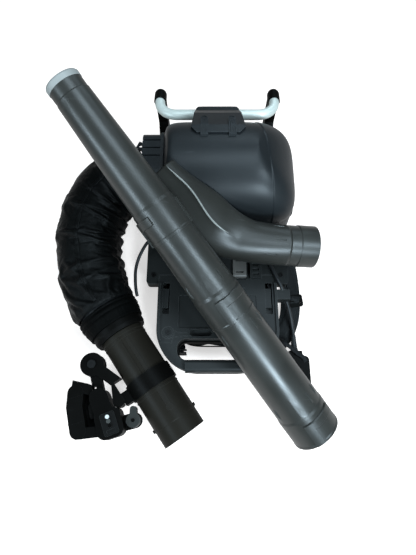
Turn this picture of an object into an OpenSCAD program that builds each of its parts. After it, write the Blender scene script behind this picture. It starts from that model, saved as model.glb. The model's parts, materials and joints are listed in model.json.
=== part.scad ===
// Backpack leaf blower lying on its harness, with its blow tube and a spare flat nozzle on top.
// +Z points away from the wearer's back, +Y down the wearer's back to the stand, +X to the wearer's left.

/* [Fan housing] */
// Width across the back
housing_w = 300; // [280:5:330]
// Radius of the barrel-shaped rear shell
barrel_r = 121; // [112:1:128]
// Height of the barrel's axis above the ground
barrel_z = 160; // [154:1:170]
// Radius of the fan chamber
chamber_r = 92; // [84:1:96]
// Wall of the shells
shell_wall = 5; // [4:0.5:7]

/* [Fan and motor] */
// Radius of the impeller
impeller_r = 84; // [70:1:88]
// Number of blades
blade_count = 9; // [7:1:13]
// Radius of the motor bell
bell_r = 46; // [38:1:52]
// Radius of the motor shaft
shaft_r = 5; // [4:0.5:6]

/* [Dock and frame] */
// Width of the battery dock
dock_w = 276; // [260:2:300]
// Height of the dock's face above the ground
dock_top = 76; // [70:1:80]
// Thickness of the harness frame
frame_t = 14; // [10:1:18]
// Height of the carry handle's bar above the dock's face
handle_rise = 13; // [6:1:16]

/* [Stand] */
// Diameter of the aluminium bar
bar_d = 24; // [20:1:28]
// Distance between the bar's ends
bar_span = 276; // [250:2:300]
// Radius of the bar's bends
bar_bend_r = 42; // [34:1:50]

/* [Hose] */
// Radius of the ribbed hose at its crests
hose_r = 62; // [58:1:66]
// Radius of the fabric sleeve at mid length
sleeve_r = 76; // [72:1:82]
// Number of ribs in the hose
hose_ribs = 36; // [20:2:44]

/* [Swivel pipe and handle] */
// Outer radius of the swivel pipe
pipe_r = 49; // [45:0.5:52]
// Wall of the swivel pipe
pipe_wall = 3; // [2:0.5:5]
// Length of the swivel pipe
pipe_len = 274; // [250:2:300]
// Width of the grip
grip_w = 38; // [34:1:44]

/* [Blow tube] */
// Outer radius of the middle joint's male end
mid_male_r = 45.4; // [44:0.1:46]
// Outer radius of the nozzle joint's male end
tip_male_r = 40.8; // [39:0.1:42]
// Outer radius of the tube's tip
tip_r = 33.5; // [30:0.5:36]
// Wall of the tube sections
tube_wall = 2.4; // [2:0.1:3.5]
// Length of the lower section
lower_len = 310; // [290:1:340]
// Length of the middle section
middle_len = 203; // [190:1:240]
// Length of the nozzle section
nozzle_len = 324; // [300:1:380]
// Length of a joint's overlap
joint_len = 66; // [50:1:80]
// Radial clearance of the slip joints
slip = 0.4; // [0.3:0.05:0.6]

/* [Flat nozzle] */
// Width of the mouth
mouth_w = 104; // [90:2:120]
// Height of the mouth
mouth_h = 26; // [20:1:32]

/* [Hidden] */
$fn = 64;

// Clearances
gap = 0.3;
run = 0.04;

// Where the row's origin lies in the machine's own frame
origin_x = -68;
origin_y = 253.6;

// Housing
fan_x = 27;
fan_y = 316 + barrel_r;
left_x = fan_x - 150;
right_x = left_x + housing_w;
seam_z = 150;
front_z = 52;
chamber_top = 215;
inlet_r = 76;
ridge_x = 92;
shoulder = 22;

// Dock and frame
frame_z = dock_top - 40;
frame_top = frame_z + frame_t;
dock_y0 = -4;
dock_y1 = fan_y - barrel_r - gap;
wing_y = 201;
wing_x = 167;

// Stand
bar_y = fan_y + barrel_r + 25;
bar_z = 200;
bar_pitch = 9;
bar_end = 14;
leg_x = bar_span / 2;
leg_w = 24;
socket_r = bar_d / 2 + 3;

// Outlet duct and hose
duct_x = left_x - 8;
duct_end = left_x - 50;
duct_y = 469;
hose_y = 455;
hose_z = 135;
port_r = hose_r - 12;
hose_in = port_r + 4;
hose_start = [left_x - 62, hose_y, hose_z];

// Swivel pipe
pipe_a = [-226.2, 94.5, 72];
pipe_dir = [0.568, -0.822, -0.04];
pipe_b = pipe_a + pipe_len * pipe_dir;
hose_end = pipe_a - 40 * pipe_dir;
spigot_r = hose_in - 0.6;

// Handle
tilt = [-271, 11];
handle_z = 82;
clamp_at = 142;
arm_z0 = handle_z - 15;
arm_t = 30;
grip_len = 116;
grip_turn = 17;
fork = 6;
trigger_at = [-10, -72];
keypad_at = [11, -grip_len - 13];
key_rows = [14, 5, -4];
key_travel = 1.6;
lever_at = [57, -grip_len - 20];

// Blow tube
tube_a = [207.2, -121.5, 50.6];
tube_b = [-287.2, 469.6, 423.1];
end_bore = pipe_r + slip;
mid_bore = mid_male_r + slip;
tip_bore = tip_male_r + slip;
female_wall = 3.2;
inlet_len = joint_len + 22;
pilot_len = 35;
pilot_step = 0.5;

// Bayonet of the tube joints: a pin on the inner tube runs in a channel under a raised welt
welt_rise = 3.4;
channel_depth = 4.2;
channel_w = 9.2;
lock_turn = 62;
pin_r = 4;
pin_rise = 3.6;
pin_at = joint_len - 21;
pin_turn = 45;
welt_turn = 160;

// Flat nozzle
nozzle_wall = 2.6;

function unit(v) = v / norm(v);
function lerp(a, b, t) = a + (b - a) * t;
function bezier(p, t) = let (u = 1 - t)
    u * u * u * p[0] + 3 * u * u * t * p[1] + 3 * u * t * t * p[2] + t * t * t * p[3];
function heading(p, t) = unit(bezier(p, min(1, t + 0.005)) - bezier(p, max(0, t - 0.005)));
// A point off a path: a is the turn round the path from its side direction, r the distance
function off_path(c, d, a, r) = let (s = unit(cross(d, [0, 0, 1])), u = cross(s, d))
    c + r * (cos(a) * s + sin(a) * u);
function near(a, b, w) = let (d = abs((a - b + 540) % 360 - 180)) d < w ? 0.5 + 0.5 * cos(180 * d / w) : 0;
function power(v, n) = sign(v) * pow(abs(v), 2 / n);

// Places an upright shape with its Z axis running from a to b
module on_axis(a, b) {
    d = b - a;
    translate(a) rotate([0, acos(d[2] / norm(d)), atan2(d[1], d[0])]) children();
}

module ring(r_out, r_in, h) {
    difference() {
        cylinder(r = r_out, h = h);
        translate([0, 0, -1]) cylinder(r = r_in, h = h + 2);
    }
}

module rounded(w, h, r) {
    square([w - 2 * r, h], center = true);
    square([w, h - 2 * r], center = true);
    for (x = [-1, 1], y = [-1, 1])
        translate([x * (w / 2 - r), y * (h / 2 - r)]) circle(r);
}

// Outline of a band with round ends along points of a plane
function side_of(p, i) = let (
    a = i > 0 ? unit(p[i] - p[i - 1]) : unit(p[1] - p[0]),
    b = i < len(p) - 1 ? unit(p[i + 1] - p[i]) : a,
    m = unit(a + b)
) [-m[1], m[0]] / (m * a);
function end_cap(c, d, r) = [for (t = [82.5 : -15 : -82.5]) c + r * (cos(t) * d + sin(t) * [d[1], -d[0]])];
function band_outline(p, r) = let (n = len(p) - 1) concat(
    [for (i = [0 : n]) p[i] - r * side_of(p, i)],
    end_cap(p[n], unit(p[n] - p[n - 1]), r),
    [for (i = [n : -1 : 0]) p[i] + r * side_of(p, i)],
    end_cap(p[0], unit(p[0] - p[1]), r)
);

module stadium(a, b, r) polygon(band_outline([a, b], r));

module band_path(points, r) polygon(band_outline(points, r));

// Closed skin over rings of points, one ring after the other
module loft(rings) {
    n = len(rings[0]);
    m = len(rings);
    polyhedron(
        [for (r = rings) for (p = r) p],
        concat(
            [[for (i = [0 : n - 1]) i]],
            [for (j = [0 : m - 2]) for (i = [0 : n - 1]) let (k = (i + 1) % n)
                for (f = [[j * n + i, (j + 1) * n + i, (j + 1) * n + k],
                          [j * n + i, (j + 1) * n + k, j * n + k]]) f],
            [[for (i = [n - 1 : -1 : 0]) (m - 1) * n + i]]
        )
    );
}

// Tube between outer rings and inner rings; an outer ring has step times the inner one's points
module hollow_loft(outer, inner, step = 1) {
    n = len(outer[0]);
    m = len(inner[0]);
    a = len(outer);
    b = len(inner);
    base = a * n;
    polyhedron(
        concat([for (r = outer) for (p = r) p], [for (r = inner) for (p = r) p]),
        concat(
            [for (j = [0 : a - 2]) for (i = [0 : n - 1]) let (k = (i + 1) % n)
                for (f = [[j * n + i, (j + 1) * n + i, (j + 1) * n + k],
                          [j * n + i, (j + 1) * n + k, j * n + k]]) f],
            [for (j = [0 : b - 2]) for (i = [0 : m - 1]) let (k = (i + 1) % m)
                for (f = [[base + j * m + i, base + (j + 1) * m + k, base + (j + 1) * m + i],
                          [base + j * m + i, base + j * m + k, base + (j + 1) * m + k]]) f],
            [for (i = [0 : m - 1]) let (k = (i + 1) % m)
                for (f = concat(
                    [for (s = [0 : step - 1]) [base + i, i * step + s, (i * step + s + 1) % n]],
                    [[base + i, (k * step) % n, base + k]])) f],
            [for (i = [0 : m - 1]) let (k = (i + 1) % m, o = (a - 1) * n, q = base + (b - 1) * m)
                for (f = concat(
                    [for (s = [0 : step - 1]) [q + i, o + (i * step + s + 1) % n, o + i * step + s]],
                    [[q + i, q + k, o + (k * step) % n]])) f]
        )
    );
}

// Round tube swept along given points
module cord(points, r, sides) {
    n = len(points);
    loft([for (i = [0 : n - 1]) let (d = unit(points[min(i + 1, n - 1)] - points[max(i - 1, 0)]))
        [for (s = [0 : sides - 1]) off_path(points[i], d, -360 * s / sides, r)]]);
}

// ---------------------------------------------------------------- frame, dock and harness

module harness_frame() color("#24272a") {
    difference() {
        translate([0, 0, frame_z]) linear_extrude(frame_t) difference() {
            union() {
                translate([0, 290]) rounded(240, 540, 60);
                for (x = [-leg_x, leg_x]) stadium([x * 0.8, 420], [x, 574], leg_w / 2);
            }
            translate([fan_x, fan_y]) circle(inlet_r + 12);
            for (y = [120, 200, 280]) translate([0, y]) rounded(120, 40, 16);
            translate([0, 47]) rounded(176, 40, 18);
        }
    }
    for (x = [-leg_x, leg_x]) foot_leg(x);
}

// Leg that carries one end of the stand bar: along the ground side, then up to the bar's socket
module foot_leg(x) {
    tip = bar_tip();
    difference() {
        union() {
            translate([x - leg_w / 2, 0, 0]) rotate([90, 0, 90]) linear_extrude(leg_w) {
                band_path([[573, frame_z + 13], [tip[1] + 14, frame_z + 13], [tip[1] + 8, tip[2] - 8]], 13);
                polygon([[584, frame_z + 8], [tip[1] + 8, frame_z + 8], [tip[1] + 4, frame_z + 84]]);
            }
            translate([x, tip[1], tip[2]]) rotate([-90 - bar_pitch, 0, 0]) {
                translate([0, 0, -10]) cylinder(r = socket_r, h = 24);
                translate([0, 0, 14]) sphere(socket_r);
            }
        }
        translate([x, tip[1], tip[2]]) rotate([-90 - bar_pitch, 0, 0]) translate([0, 0, -40])
            cylinder(d = bar_d + 0.2, h = 49);
    }
}

// The bar's straight end in the machine's frame
function bar_tip() = let (l = bar_bend_r + bar_end)
    [leg_x, bar_y + l * cos(bar_pitch), bar_z - l * sin(bar_pitch)];

module dock_plan(grow) {
    translate([0, (dock_y0 + 216) / 2]) rounded(dock_w + 2 * grow, 216 - dock_y0 + 2 * grow, 97 + grow);
    translate([0, 160]) square([dock_w + 2 * grow, 110], center = true);
    translate([0, (wing_y + dock_y1) / 2]) rounded(2 * wing_x + 2 * grow, dock_y1 - wing_y + 2 * grow, 8);
}

module dock_plate() color("#3c4247") {
    difference() {
        union() {
            translate([0, 0, frame_top]) linear_extrude(dock_top - frame_top) dock_plan(0);
            // raised rim of the side walls
            translate([0, 0, dock_top]) linear_extrude(6) difference() {
                intersection() {
                    dock_plan(0);
                    translate([0, 136]) square([400, 140], center = true);
                }
                dock_plan(-6);
                translate([0, 250]) square([400, 98], center = true);
            }
            // carry handle bar
            translate([-72, 9.5, frame_top + 8]) rotate([90, 0, 90]) linear_extrude(144)
                translate([0, (dock_top + handle_rise - frame_top - 8) / 2])
                    rounded(27, dock_top + handle_rise - frame_top - 8, 9);
            for (x = [-112, 112]) translate([x, 84, frame_top]) cylinder(r = 10, h = dock_top + 2 - frame_top);
        }
        // hollow behind the face
        translate([0, 0, frame_top - 1]) linear_extrude(dock_top - frame_top - 5) {
            translate([0, 250]) rounded(240, 130, 10);
            translate([0, 134]) rounded(200, 82, 10);
        }
        // carry handle opening
        translate([0, 47, frame_top - 1]) linear_extrude(60) rounded(182, 48, 20);
        // panel recess between the hooks
        translate([0, 133.5, dock_top - 3]) linear_extrude(10) rounded(180, 79, 5);
        // hook slots, each with a tongue in the middle
        for (x = [-119, 119]) difference() {
            translate([x, 165, dock_top - 14]) linear_extrude(30) rounded(16, 76, 3);
            translate([x - 9, 143, dock_top - 20]) cube([14, 46, 18]);
        }
        // panel lines
        translate([0, 0, dock_top - 0.9]) linear_extrude(4) dock_lines();
        // round-ended drain slots
        for (x = [-38, 38]) translate([x, 83.5, dock_top - 10]) linear_extrude(20) rounded(50, 15, 7.4);
        // latch pocket
        translate([52.5, 241, dock_top - 4]) linear_extrude(20) rounded(34, 62, 3);
        // screw holes
        for (p = dock_screw_places()) translate([p[0], p[1], frame_top - 5]) cylinder(r = 2.6, h = 60);
    }
}

module dock_lines() for (m = [0, 1]) mirror([m, 0]) {
    band_path([[-98, 88], [-88, 84], [-72, 84], [-64, 94.6], [-20, 94.6]], 0.8);
    band_path([[-104, 60], [-100, 74], [-78, 76.2], [-30, 76.2]], 0.8);
    band_path([[-137, 206], [-137, 222], [-100, 222], [-100, 300]], 0.8);
    band_path([[-64, 190], [-20, 190], [-20, 214]], 0.8);
    translate([-112, 84]) difference() {
        circle(14.6);
        circle(13);
    }
}

function dock_screw_places() = [[-112, 84], [112, 84], [-150, 222], [150, 222]];

module dock_screws() color("#8a8d90") for (p = dock_screw_places()) {
    lift = p[1] < 100 ? 2 : 0;
    translate([p[0], p[1], frame_top]) cylinder(r = 2.5, h = dock_top + lift - frame_top);
    translate([p[0], p[1], dock_top + lift]) difference() {
        cylinder(r = 5, h = 3);
        translate([0, 0, 1]) cylinder(r = 2.2, h = 3, $fn = 6);
    }
}

module battery_latch() color("#7d868c") translate([52.5, 240, dock_top - 4 + gap]) {
    difference() {
        translate([-15.5, -24, 0]) cube([31, 46, 14]);
        for (y = [-16, 13]) translate([-9, y, 7]) cube([18, 5, 10]);
        translate([-20, -24, 14]) rotate([0, 90, 0]) cylinder(r = 5, h = 40);
    }
}

module terminal_block() color("#33383c") translate([90, 235, dock_top]) difference() {
    union() {
        translate([-13, -23, 0]) cube([26, 40, 12]);
        translate([0, 17, 6]) rotate([-90, 0, 0]) cylinder(r = 6, h = 6);
    }
    for (y = [-18, -6, 6]) translate([-8, y, 8]) cube([16, 7, 6]);
}

module control_box() color("#1c1f21") translate([0, 252, frame_top + gap]) linear_extrude(15) rounded(180, 84, 6);

module inlet_grille() color("#1d2022") translate([fan_x, fan_y, frame_z + 2]) difference() {
    cylinder(r = inlet_r + 10, h = front_z - frame_z - 2 - gap);
    translate([0, 0, 5]) cylinder(r = inlet_r, h = 40);
    for (r = [16 : 12 : 64]) translate([0, 0, -1]) difference() {
        ring(r + 8, r, 8);
        for (a = [0 : 30 : 150]) rotate(a) translate([-90, -2, -1]) cube([180, 4, 10]);
    }
}

// ---------------------------------------------------------------- fan housing

// Plan outline of the front shell: square on the outlet side, with a rounded shoulder by the stand
function shell_plan() = [for (p = shell_ring(seam_z, 0)) [p[0], p[1]]];

module chamber() {
    translate([fan_x, fan_y, front_z + shell_wall]) cylinder(r = chamber_r, h = chamber_top - front_z - shell_wall);
    translate([left_x - 1, hose_y, hose_z]) rotate([0, 90, 0]) cylinder(r = port_r, h = fan_x - left_x);
}

module housing_front() color("#454c52") difference() {
    translate([0, 0, front_z]) linear_extrude(seam_z - front_z) polygon(shell_plan());
    chamber();
    translate([fan_x, fan_y, front_z - 1]) cylinder(r = inlet_r, h = shell_wall + 2);
}

// Outline of the rear shell at a height: circular arcs along the back, a square outlet end,
// and a side that slopes away above the seam
function shell_ring(z, inset) = let (
    k = max(0, (z - barrel_z) / barrel_r),
    hy = barrel_r * sqrt(max(0.0004, 1 - k * k)) - inset,
    right = (right_x - fan_x) * (1 - 0.62 * pow(k, 2.2)) - inset,
    left = (fan_x - left_x) - shoulder * (1 - sqrt(max(0, 1 - k * k))) - inset
) [for (i = [0 : 47]) let (a = -7.5 * i, c = cos(a), s = sin(a), n = c < 0 ? 9 : (s > 0 ? 3.9 : 5))
    [fan_x + (c > 0 ? right : left) * power(c, n), fan_y + hy * power(s, n), z]];

module barrel() {
    heights = concat([seam_z, barrel_z], [for (a = [15, 28, 39, 49, 58, 66, 73, 79, 84]) barrel_z + barrel_r * sin(a)]);
    loft([for (z = heights) shell_ring(z, 0)]);
}

module housing_rear() color("#4a5258") difference() {
    barrel();
    chamber();
    for (x = [-30, 30]) clamp_hole(x, 3.2);
}

// A point of the side view, a degrees round from the barrel's crest and d outside it
function on_barrel(a, d) = [fan_y + (barrel_r + d) * sin(a), barrel_z + (barrel_r + d) * cos(a)];

// Radial hole of a clamp screw
module clamp_hole(x, r) translate([x, fan_y, barrel_z]) rotate([-41, 0, 0])
    translate([0, 0, barrel_r - 20]) cylinder(r = r, h = 60);

module clamp_cuts() {
    translate([fan_y, barrel_z]) circle(barrel_r + gap, $fn = 96);
    translate([bar_y, bar_z]) circle(bar_d / 2 + 0.1);
}

// Lower half of the bar's seat
module bar_saddle() color("#4a5258") translate([-34, 0, 0]) rotate([90, 0, 90]) linear_extrude(68) difference() {
    polygon([on_barrel(87, -10), on_barrel(87, 8), [bar_y + 6, bar_z - 22], [bar_y + 17, bar_z - 8],
        [bar_y + 17, bar_z - 0.2], [bar_y - 50, bar_z - 0.2]]);
    clamp_cuts();
}

// Ribbed tongue below a clamp screw, lying on the barrel
module clamp_tongue(x) difference() {
    translate([x - 8, 0, 0]) rotate([90, 0, 90]) linear_extrude(16) difference() {
        polygon([on_barrel(10, -2), on_barrel(22, -4), on_barrel(35, 4), on_barrel(35, 15.4), on_barrel(25, 10.6),
            on_barrel(14, 6.6), on_barrel(11, 5)]);
        clamp_cuts();
    }
    for (g = [-5, 0, 5]) translate([x + g - 0.9, 0, 0]) rotate([90, 0, 90]) linear_extrude(1.8)
        polygon([on_barrel(12, 4.6), on_barrel(25, 9.4), on_barrel(31, 12.2), on_barrel(31, 25), on_barrel(12, 25)]);
}

module bar_clamp() color("#525a60") {
    for (x = [-30, 30]) clamp_tongue(x);
    clamp_plate();
}

module clamp_plate() difference() {
    intersection() {
        translate([-58, 0, 0]) rotate([90, 0, 90]) linear_extrude(116) difference() {
            polygon([on_barrel(13, -6), on_barrel(13, 3), on_barrel(15, 5), on_barrel(24, 8), on_barrel(50, 20),
                [bar_y - 4, bar_z + 21], [bar_y + 8, bar_z + 18], [bar_y + 17, bar_z + 9],
                [bar_y + 17, bar_z + 0.2], [bar_y - 50, bar_z + 0.2]]);
            clamp_cuts();
        }
        translate([0, 0, 150]) linear_extrude(200) translate([0, fan_y])
            polygon([[-58, 46], [-46, 30], [46, 30], [58, 46], [50, 147], [42, 159], [30, 164],
                [-30, 164], [-42, 159], [-50, 147]]);
    }
    for (x = [-30, 30]) {
        clamp_hole(x, 3.2);
        translate([x, fan_y, barrel_z]) rotate([-41, 0, 0]) translate([0, 0, barrel_r + 6]) cylinder(r = 6, h = 40);
    }
}

module clamp_screws() color("#9a9da0") for (x = [-30, 30])
    translate([x, fan_y, barrel_z]) rotate([-41, 0, 0]) {
        translate([0, 0, barrel_r - 20]) cylinder(r = 3.1, h = 26);
        translate([0, 0, barrel_r + 6]) difference() {
            cylinder(r = 5.2, h = 3.6);
            translate([0, 0, 1.4]) cylinder(r = 2.4, h = 3, $fn = 6);
        }
    }

module foot_bar() color("#c3c8cc") translate([0, bar_y, bar_z]) rotate([-bar_pitch, 0, 0]) {
    half = bar_span / 2 - bar_bend_r;
    translate([-half, 0, 0]) rotate([0, 90, 0]) cylinder(d = bar_d, h = 2 * half);
    for (m = [0, 1]) mirror([m, 0, 0]) {
        translate([half, bar_bend_r, 0]) rotate(-90)
            rotate_extrude(angle = 90) translate([bar_bend_r, 0]) circle(d = bar_d);
        translate([half + bar_bend_r, bar_bend_r, 0]) rotate([-90, 0, 0]) cylinder(d = bar_d, h = bar_end + 8);
    }
}

// ---------------------------------------------------------------- motor and impeller

module on_fan(z) translate([fan_x, fan_y, z]) children();

module motor_mount() color("#9ea3a6") {
    on_fan(chamber_top - 8) cylinder(r = 60, h = 8);
    on_fan(158) difference() {
        cylinder(r = 17, h = chamber_top - 165);
        translate([0, 0, -1]) cylinder(r = 13 + run, h = 60);
    }
}

module motor_bearings() color("#b9bcc0") for (z = [160, 190]) on_fan(z) ring(13, shaft_r + run, 8);

module motor_stator() color("#7a4a2a") on_fan(164) difference() {
    union() {
        ring(26, 17 + run, 34);
        for (a = [0 : 30 : 330]) rotate(a) translate([24, -4, 0]) cube([bell_r - 31, 8, 34]);
    }
}

module motor_rotor() color("#55595c") {
    on_fan(118) cylinder(r = shaft_r, h = 82);
    on_fan(152) difference() {
        cylinder(r = bell_r, h = 50);
        translate([0, 0, 4]) cylinder(r = bell_r - 5, h = 60);
    }
}

module impeller() color("#2b2f32") {
    on_fan(142) ring(impeller_r, shaft_r + run, 4);
    on_fan(120) ring(18, shaft_r + run, 22);
    on_fan(86) ring(impeller_r, impeller_r - 24, 4);
    for (i = [0 : blade_count - 1]) on_fan(90) rotate(360 * i / blade_count) linear_extrude(52)
        polygon(concat(
            [for (t = [0 : 0.125 : 1]) blade_point(t, 1.2)],
            [for (t = [1 : -0.125 : 0]) blade_point(t, -1.2)]));
}

function blade_point(t, side) = let (r = lerp(34, impeller_r - 1, t), a = -46 * t)
    r * [cos(a), sin(a)] + side * [-sin(a - 30), cos(a - 30)];

// ---------------------------------------------------------------- outlet duct and hose

module duct_plan(grow) rounded(142 + grow, 128 + grow, 34 + grow / 2);

module duct_gasket() color("#1a1c1e") translate([left_x - gap, duct_y, hose_z + 5]) rotate([0, -90, 0])
    rotate(90) linear_extrude(8 - 2 * gap) difference() {
        duct_plan(10);
        translate([hose_y - duct_y, -5]) circle(port_r + 2);
    }

module outlet_duct() color("#495057") difference() {
    union() {
        translate([duct_x, duct_y, hose_z + 5]) rotate([0, -90, 0]) rotate(90)
            linear_extrude(duct_x - duct_end) duct_plan(0);
        translate([duct_end + 1, hose_y, hose_z]) rotate([0, -90, 0])
            cylinder(r = port_r + 3.6, h = duct_end - hose_start[0] + 7);
        translate([duct_end + 8, 532, hose_z - 4]) rotate(-24) difference() {
            translate([-36, -11, 0]) cube([40, 22, 5]);
            translate([-27, 0, -1]) cylinder(r = 4, h = 8);
        }
    }
    translate([duct_x + 1, hose_y, hose_z]) rotate([0, -90, 0]) cylinder(r = port_r, h = 140);
    for (y = [464, 485, 506]) translate([duct_end - 1, y, hose_z + 64]) cube([60, 4, 10]);
    for (z = [hose_z + 20, hose_z]) translate([duct_end - 1, duct_y + 67, z]) cube([60, 10, 4]);
}

module duct_band() color("#8f9498") translate([hose_start[0] - 3, hose_y, hose_z]) rotate([0, -90, 0])
    ring(hose_r + 3.4, hose_r + 0.5, 9);

function hose_line() = [
    hose_start, hose_start + [-122, 0, -1], hose_end - 186 * pipe_dir, hose_end
];

module hose_bellows() color("#15171a") {
    line = hose_line();
    steps = 2 * hose_ribs;
    outer = [for (i = [0 : steps]) let (t = i / steps, c = bezier(line, t), d = heading(line, t),
        flat = i < 3 || i > steps - 3, r = flat ? hose_r - 1 : (i % 2 == 0 ? hose_r : hose_r - 4))
        [for (s = [0 : 11]) off_path(c, d, -30 * s, r)]];
    inner = [for (i = [0 : 12]) let (t = i / 12, c = bezier(line, t), d = heading(line, t))
        [for (s = [0 : 11]) off_path(c, d, -30 * s, hose_in + 2.2)]];
    hollow_loft(outer, inner);
}

// Fold pattern of the sleeve: creases run out from the inside of the bend and fade on the outside
function fold(t, a) = let (inside = near(a, 0, 150), wave = sin(360 * (t * 6.5 + 0.18 * sin(a * 2))))
    wave * (1.2 + 5.5 * inside) * (1 - pow(2 * t - 1, 6)) + 1.6 * sin(360 * t * 3 + a * 2);

module hose_sleeve() color("#131517") {
    line = hose_line();
    rings = 35;
    outer = [for (i = [0 : rings]) let (t = lerp(0.012, 0.983, i / rings), c = bezier(line, t), d = heading(line, t),
        r = hose_r + 10 + (sleeve_r - hose_r - 10) * pow(sin(180 * t), 0.6))
        [for (s = [0 : 23]) let (a = -15 * s) off_path(c, d, a, r + fold(t, a + 360) * sin(180 * t))]];
    inner = [for (i = [0 : 12]) let (t = lerp(0.012, 0.983, i / 12), c = bezier(line, t), d = heading(line, t))
        [for (s = [0 : 11]) off_path(c, d, -30 * s, hose_r + 7)]];
    hollow_loft(outer, inner, 2);
}

// ---------------------------------------------------------------- swivel pipe and handle

module on_pipe() on_axis(pipe_a, pipe_b) children();

module hose_cuff() color("#0f1112") on_pipe() rotate_extrude()
    polygon([[hose_r + 0.6, -45.5], [hose_r + 8, -45.5], [hose_r + 9, -40], [hose_r + 7.5, -26],
        [hose_r + 4.5, -12], [hose_r + 2, -1], [hose_r - 1.6, -1], [hose_r - 1.6, -36], [hose_r + 0.6, -36]]);

module hose_collar() color("#3a3f43") on_pipe() rotate_extrude()
    polygon([[spigot_r - 5, -54], [spigot_r, -54], [spigot_r, -39.6], [hose_r - 2, -39.6], [hose_r - 2, 12],
        [pipe_r + 8, 20], [pipe_r + gap, 20], [pipe_r + gap, -6], [pipe_r + 4.6, -6], [pipe_r + 4.6, -16],
        [spigot_r - 5, -16]]);

module swivel_pipe() color("#33383c") on_pipe() {
    difference() {
        union() {
            // the last stretch is a little slimmer, so the tube finds its way on
            rotate_extrude() polygon([[0, -14], [pipe_r, -14], [pipe_r, pipe_len - pilot_len - 1],
                [pipe_r - pilot_step, pipe_len - pilot_len], [pipe_r - pilot_step, pipe_len], [0, pipe_len]]);
            translate([0, 0, -14]) cylinder(r = pipe_r + 4, h = 7);
            for (z = [26, 34]) translate([0, 0, z]) cylinder(r = pipe_r + 1, h = 3);
            translate([0, 0, clamp_at + 24]) cylinder(r = pipe_r + 1.2, h = 3);
        }
        translate([0, 0, -15]) cylinder(r = pipe_r - pipe_wall, h = pipe_len + 20);
    }
    // key rib along the top, then the bayonet pins
    rotate(-8) pipe_rib(40, clamp_at - 20, 6);
    rotate(-8) pipe_rib(clamp_at + 22, clamp_at + 62, 9);
    pins(pipe_r, pipe_len - inlet_len + 2 + pin_at, 90);
    // stop rib beside the rail and the rounded tab below it
    rotate(8) pipe_rib(31, clamp_at - 20, 2.4);
    rotate(-8) translate([-pipe_r - 0.8, 0, clamp_at + 68]) rotate([0, 90, 0]) cylinder(r = 7, h = 2.4);
}

// Raised rib of the pipe from z0 to z1 on the side that faces up
module pipe_rib(z0, z1, w) translate([-pipe_r - 1.6, -w / 2, z0]) cube([3, w, z1 - z0]);

module handle_clamp() color("#2c3033") on_pipe() translate([0, 0, clamp_at - 18]) {
    difference() {
        union() {
            cylinder(r = pipe_r + 4, h = 36);
            rotate(-90) translate([pipe_r, -16, 4]) cube([20, 32, 28]);
            rotate(-35) translate([pipe_r, -9, 8]) cube([20, 18, 20]);
        }
        translate([0, 0, -1]) cylinder(r = pipe_r + gap, h = 40);
        rotate(-35) translate([pipe_r - 4, -1.5, -1]) cube([30, 3, 40]);
        rotate(-35) translate([pipe_r + 13, -20, 18]) rotate([-90, 0, 0]) cylinder(r = 2.6, h = 40);
    }
}

module clamp_knob() color("#1b1d1f") on_pipe() translate([0, 0, clamp_at]) rotate(-35)
    translate([pipe_r + 13, 0, 0]) rotate([90, 0, 0]) {
        translate([0, 0, 9 + gap]) cylinder(r = 9, h = 10, $fn = 24);
        translate([0, 0, -12]) cylinder(r = 2.5, h = 22);
    }

function clamp_lug() = let (c = pipe_a + clamp_at * pipe_dir) [c[0], c[1]] + (pipe_r + 27) * [-0.822, -0.569];

module handle_arm() color("#26292c") difference() {
    translate([0, 0, arm_z0]) linear_extrude(arm_t) {
        band_path([clamp_lug(), tilt + [56, -38], tilt], 12);
        translate(tilt) circle(25);
    }
    // fork for the grip's eye
    translate([tilt[0], tilt[1], arm_z0 + fork]) cylinder(r = 46, h = arm_t - 2 * fork);
    translate([tilt[0], tilt[1], arm_z0 - 1]) cylinder(r = 5 + run, h = arm_t + 2);
    on_pipe() translate([0, 0, clamp_at - 40]) cylinder(r = pipe_r + 22 + gap, h = 80);
}

module tilt_bolt() color("#8f9396") translate([tilt[0], tilt[1], arm_z0 - 4]) {
    cylinder(r = 5, h = arm_t + 8);
    cylinder(r = 9, h = 4 - gap);
    translate([0, 0, arm_t + 4 + gap]) cylinder(r = 9, h = 4);
}

// The grip's own frame: local X to the pipe's side, local -Y down the grip, Z up
module on_grip() translate([tilt[0], tilt[1], arm_z0]) rotate(grip_turn) children();

// Eye and neck between the fork's cheeks
module grip_eye() {
    circle(24);
    translate([-10, -60]) square([22, 50]);
}

// Handle proper, below the fork
module grip_plan(grow = 0) {
    band_path([[0, -72], [2, -86], [6, -grip_len]], grip_w / 2 + grow);
    translate([10, -grip_len - 12]) rounded(54 + 2 * grow, 60 + 2 * grow, 16 + grow);
}

module grip_body() color("#2a2d30") on_grip() difference() {
    union() {
        translate([0, 0, fork + gap]) linear_extrude(arm_t / 2 - fork - gap) grip_eye();
        translate([0, 0, -5]) linear_extrude(arm_t / 2 + 5) grip_plan();
        translate([0, 0, -5]) linear_extrude(9) stadium([20, -grip_len - 18], lever_at, 16);
        translate([lever_at[0], lever_at[1], 0]) cylinder(r = 4, h = 27);
    }
    translate([0, 0, -1]) cylinder(r = 5 + run, h = arm_t + 2);
    trigger_slot();
    translate([trigger_at[0], trigger_at[1], 2]) cylinder(r = 2.5 + run, h = 30);
}

module grip_cover() color("#303438") on_grip() difference() {
    translate([0, 0, arm_t / 2]) union() {
        linear_extrude(arm_t / 2 - fork - gap) grip_eye();
        linear_extrude(arm_t / 2 + 5) grip_plan();
    }
    translate([0, 0, -1]) cylinder(r = 5 + run, h = arm_t + 2);
    trigger_slot();
    translate([trigger_at[0], trigger_at[1], 0]) cylinder(r = 2.5 + run, h = 28);
    translate([keypad_at[0], keypad_at[1], arm_t]) rotate(4) linear_extrude(20) rounded(32, 46, 5);
}

module trigger_slot() translate([-24, -112, 6]) cube([22, 66, 18]);

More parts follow.
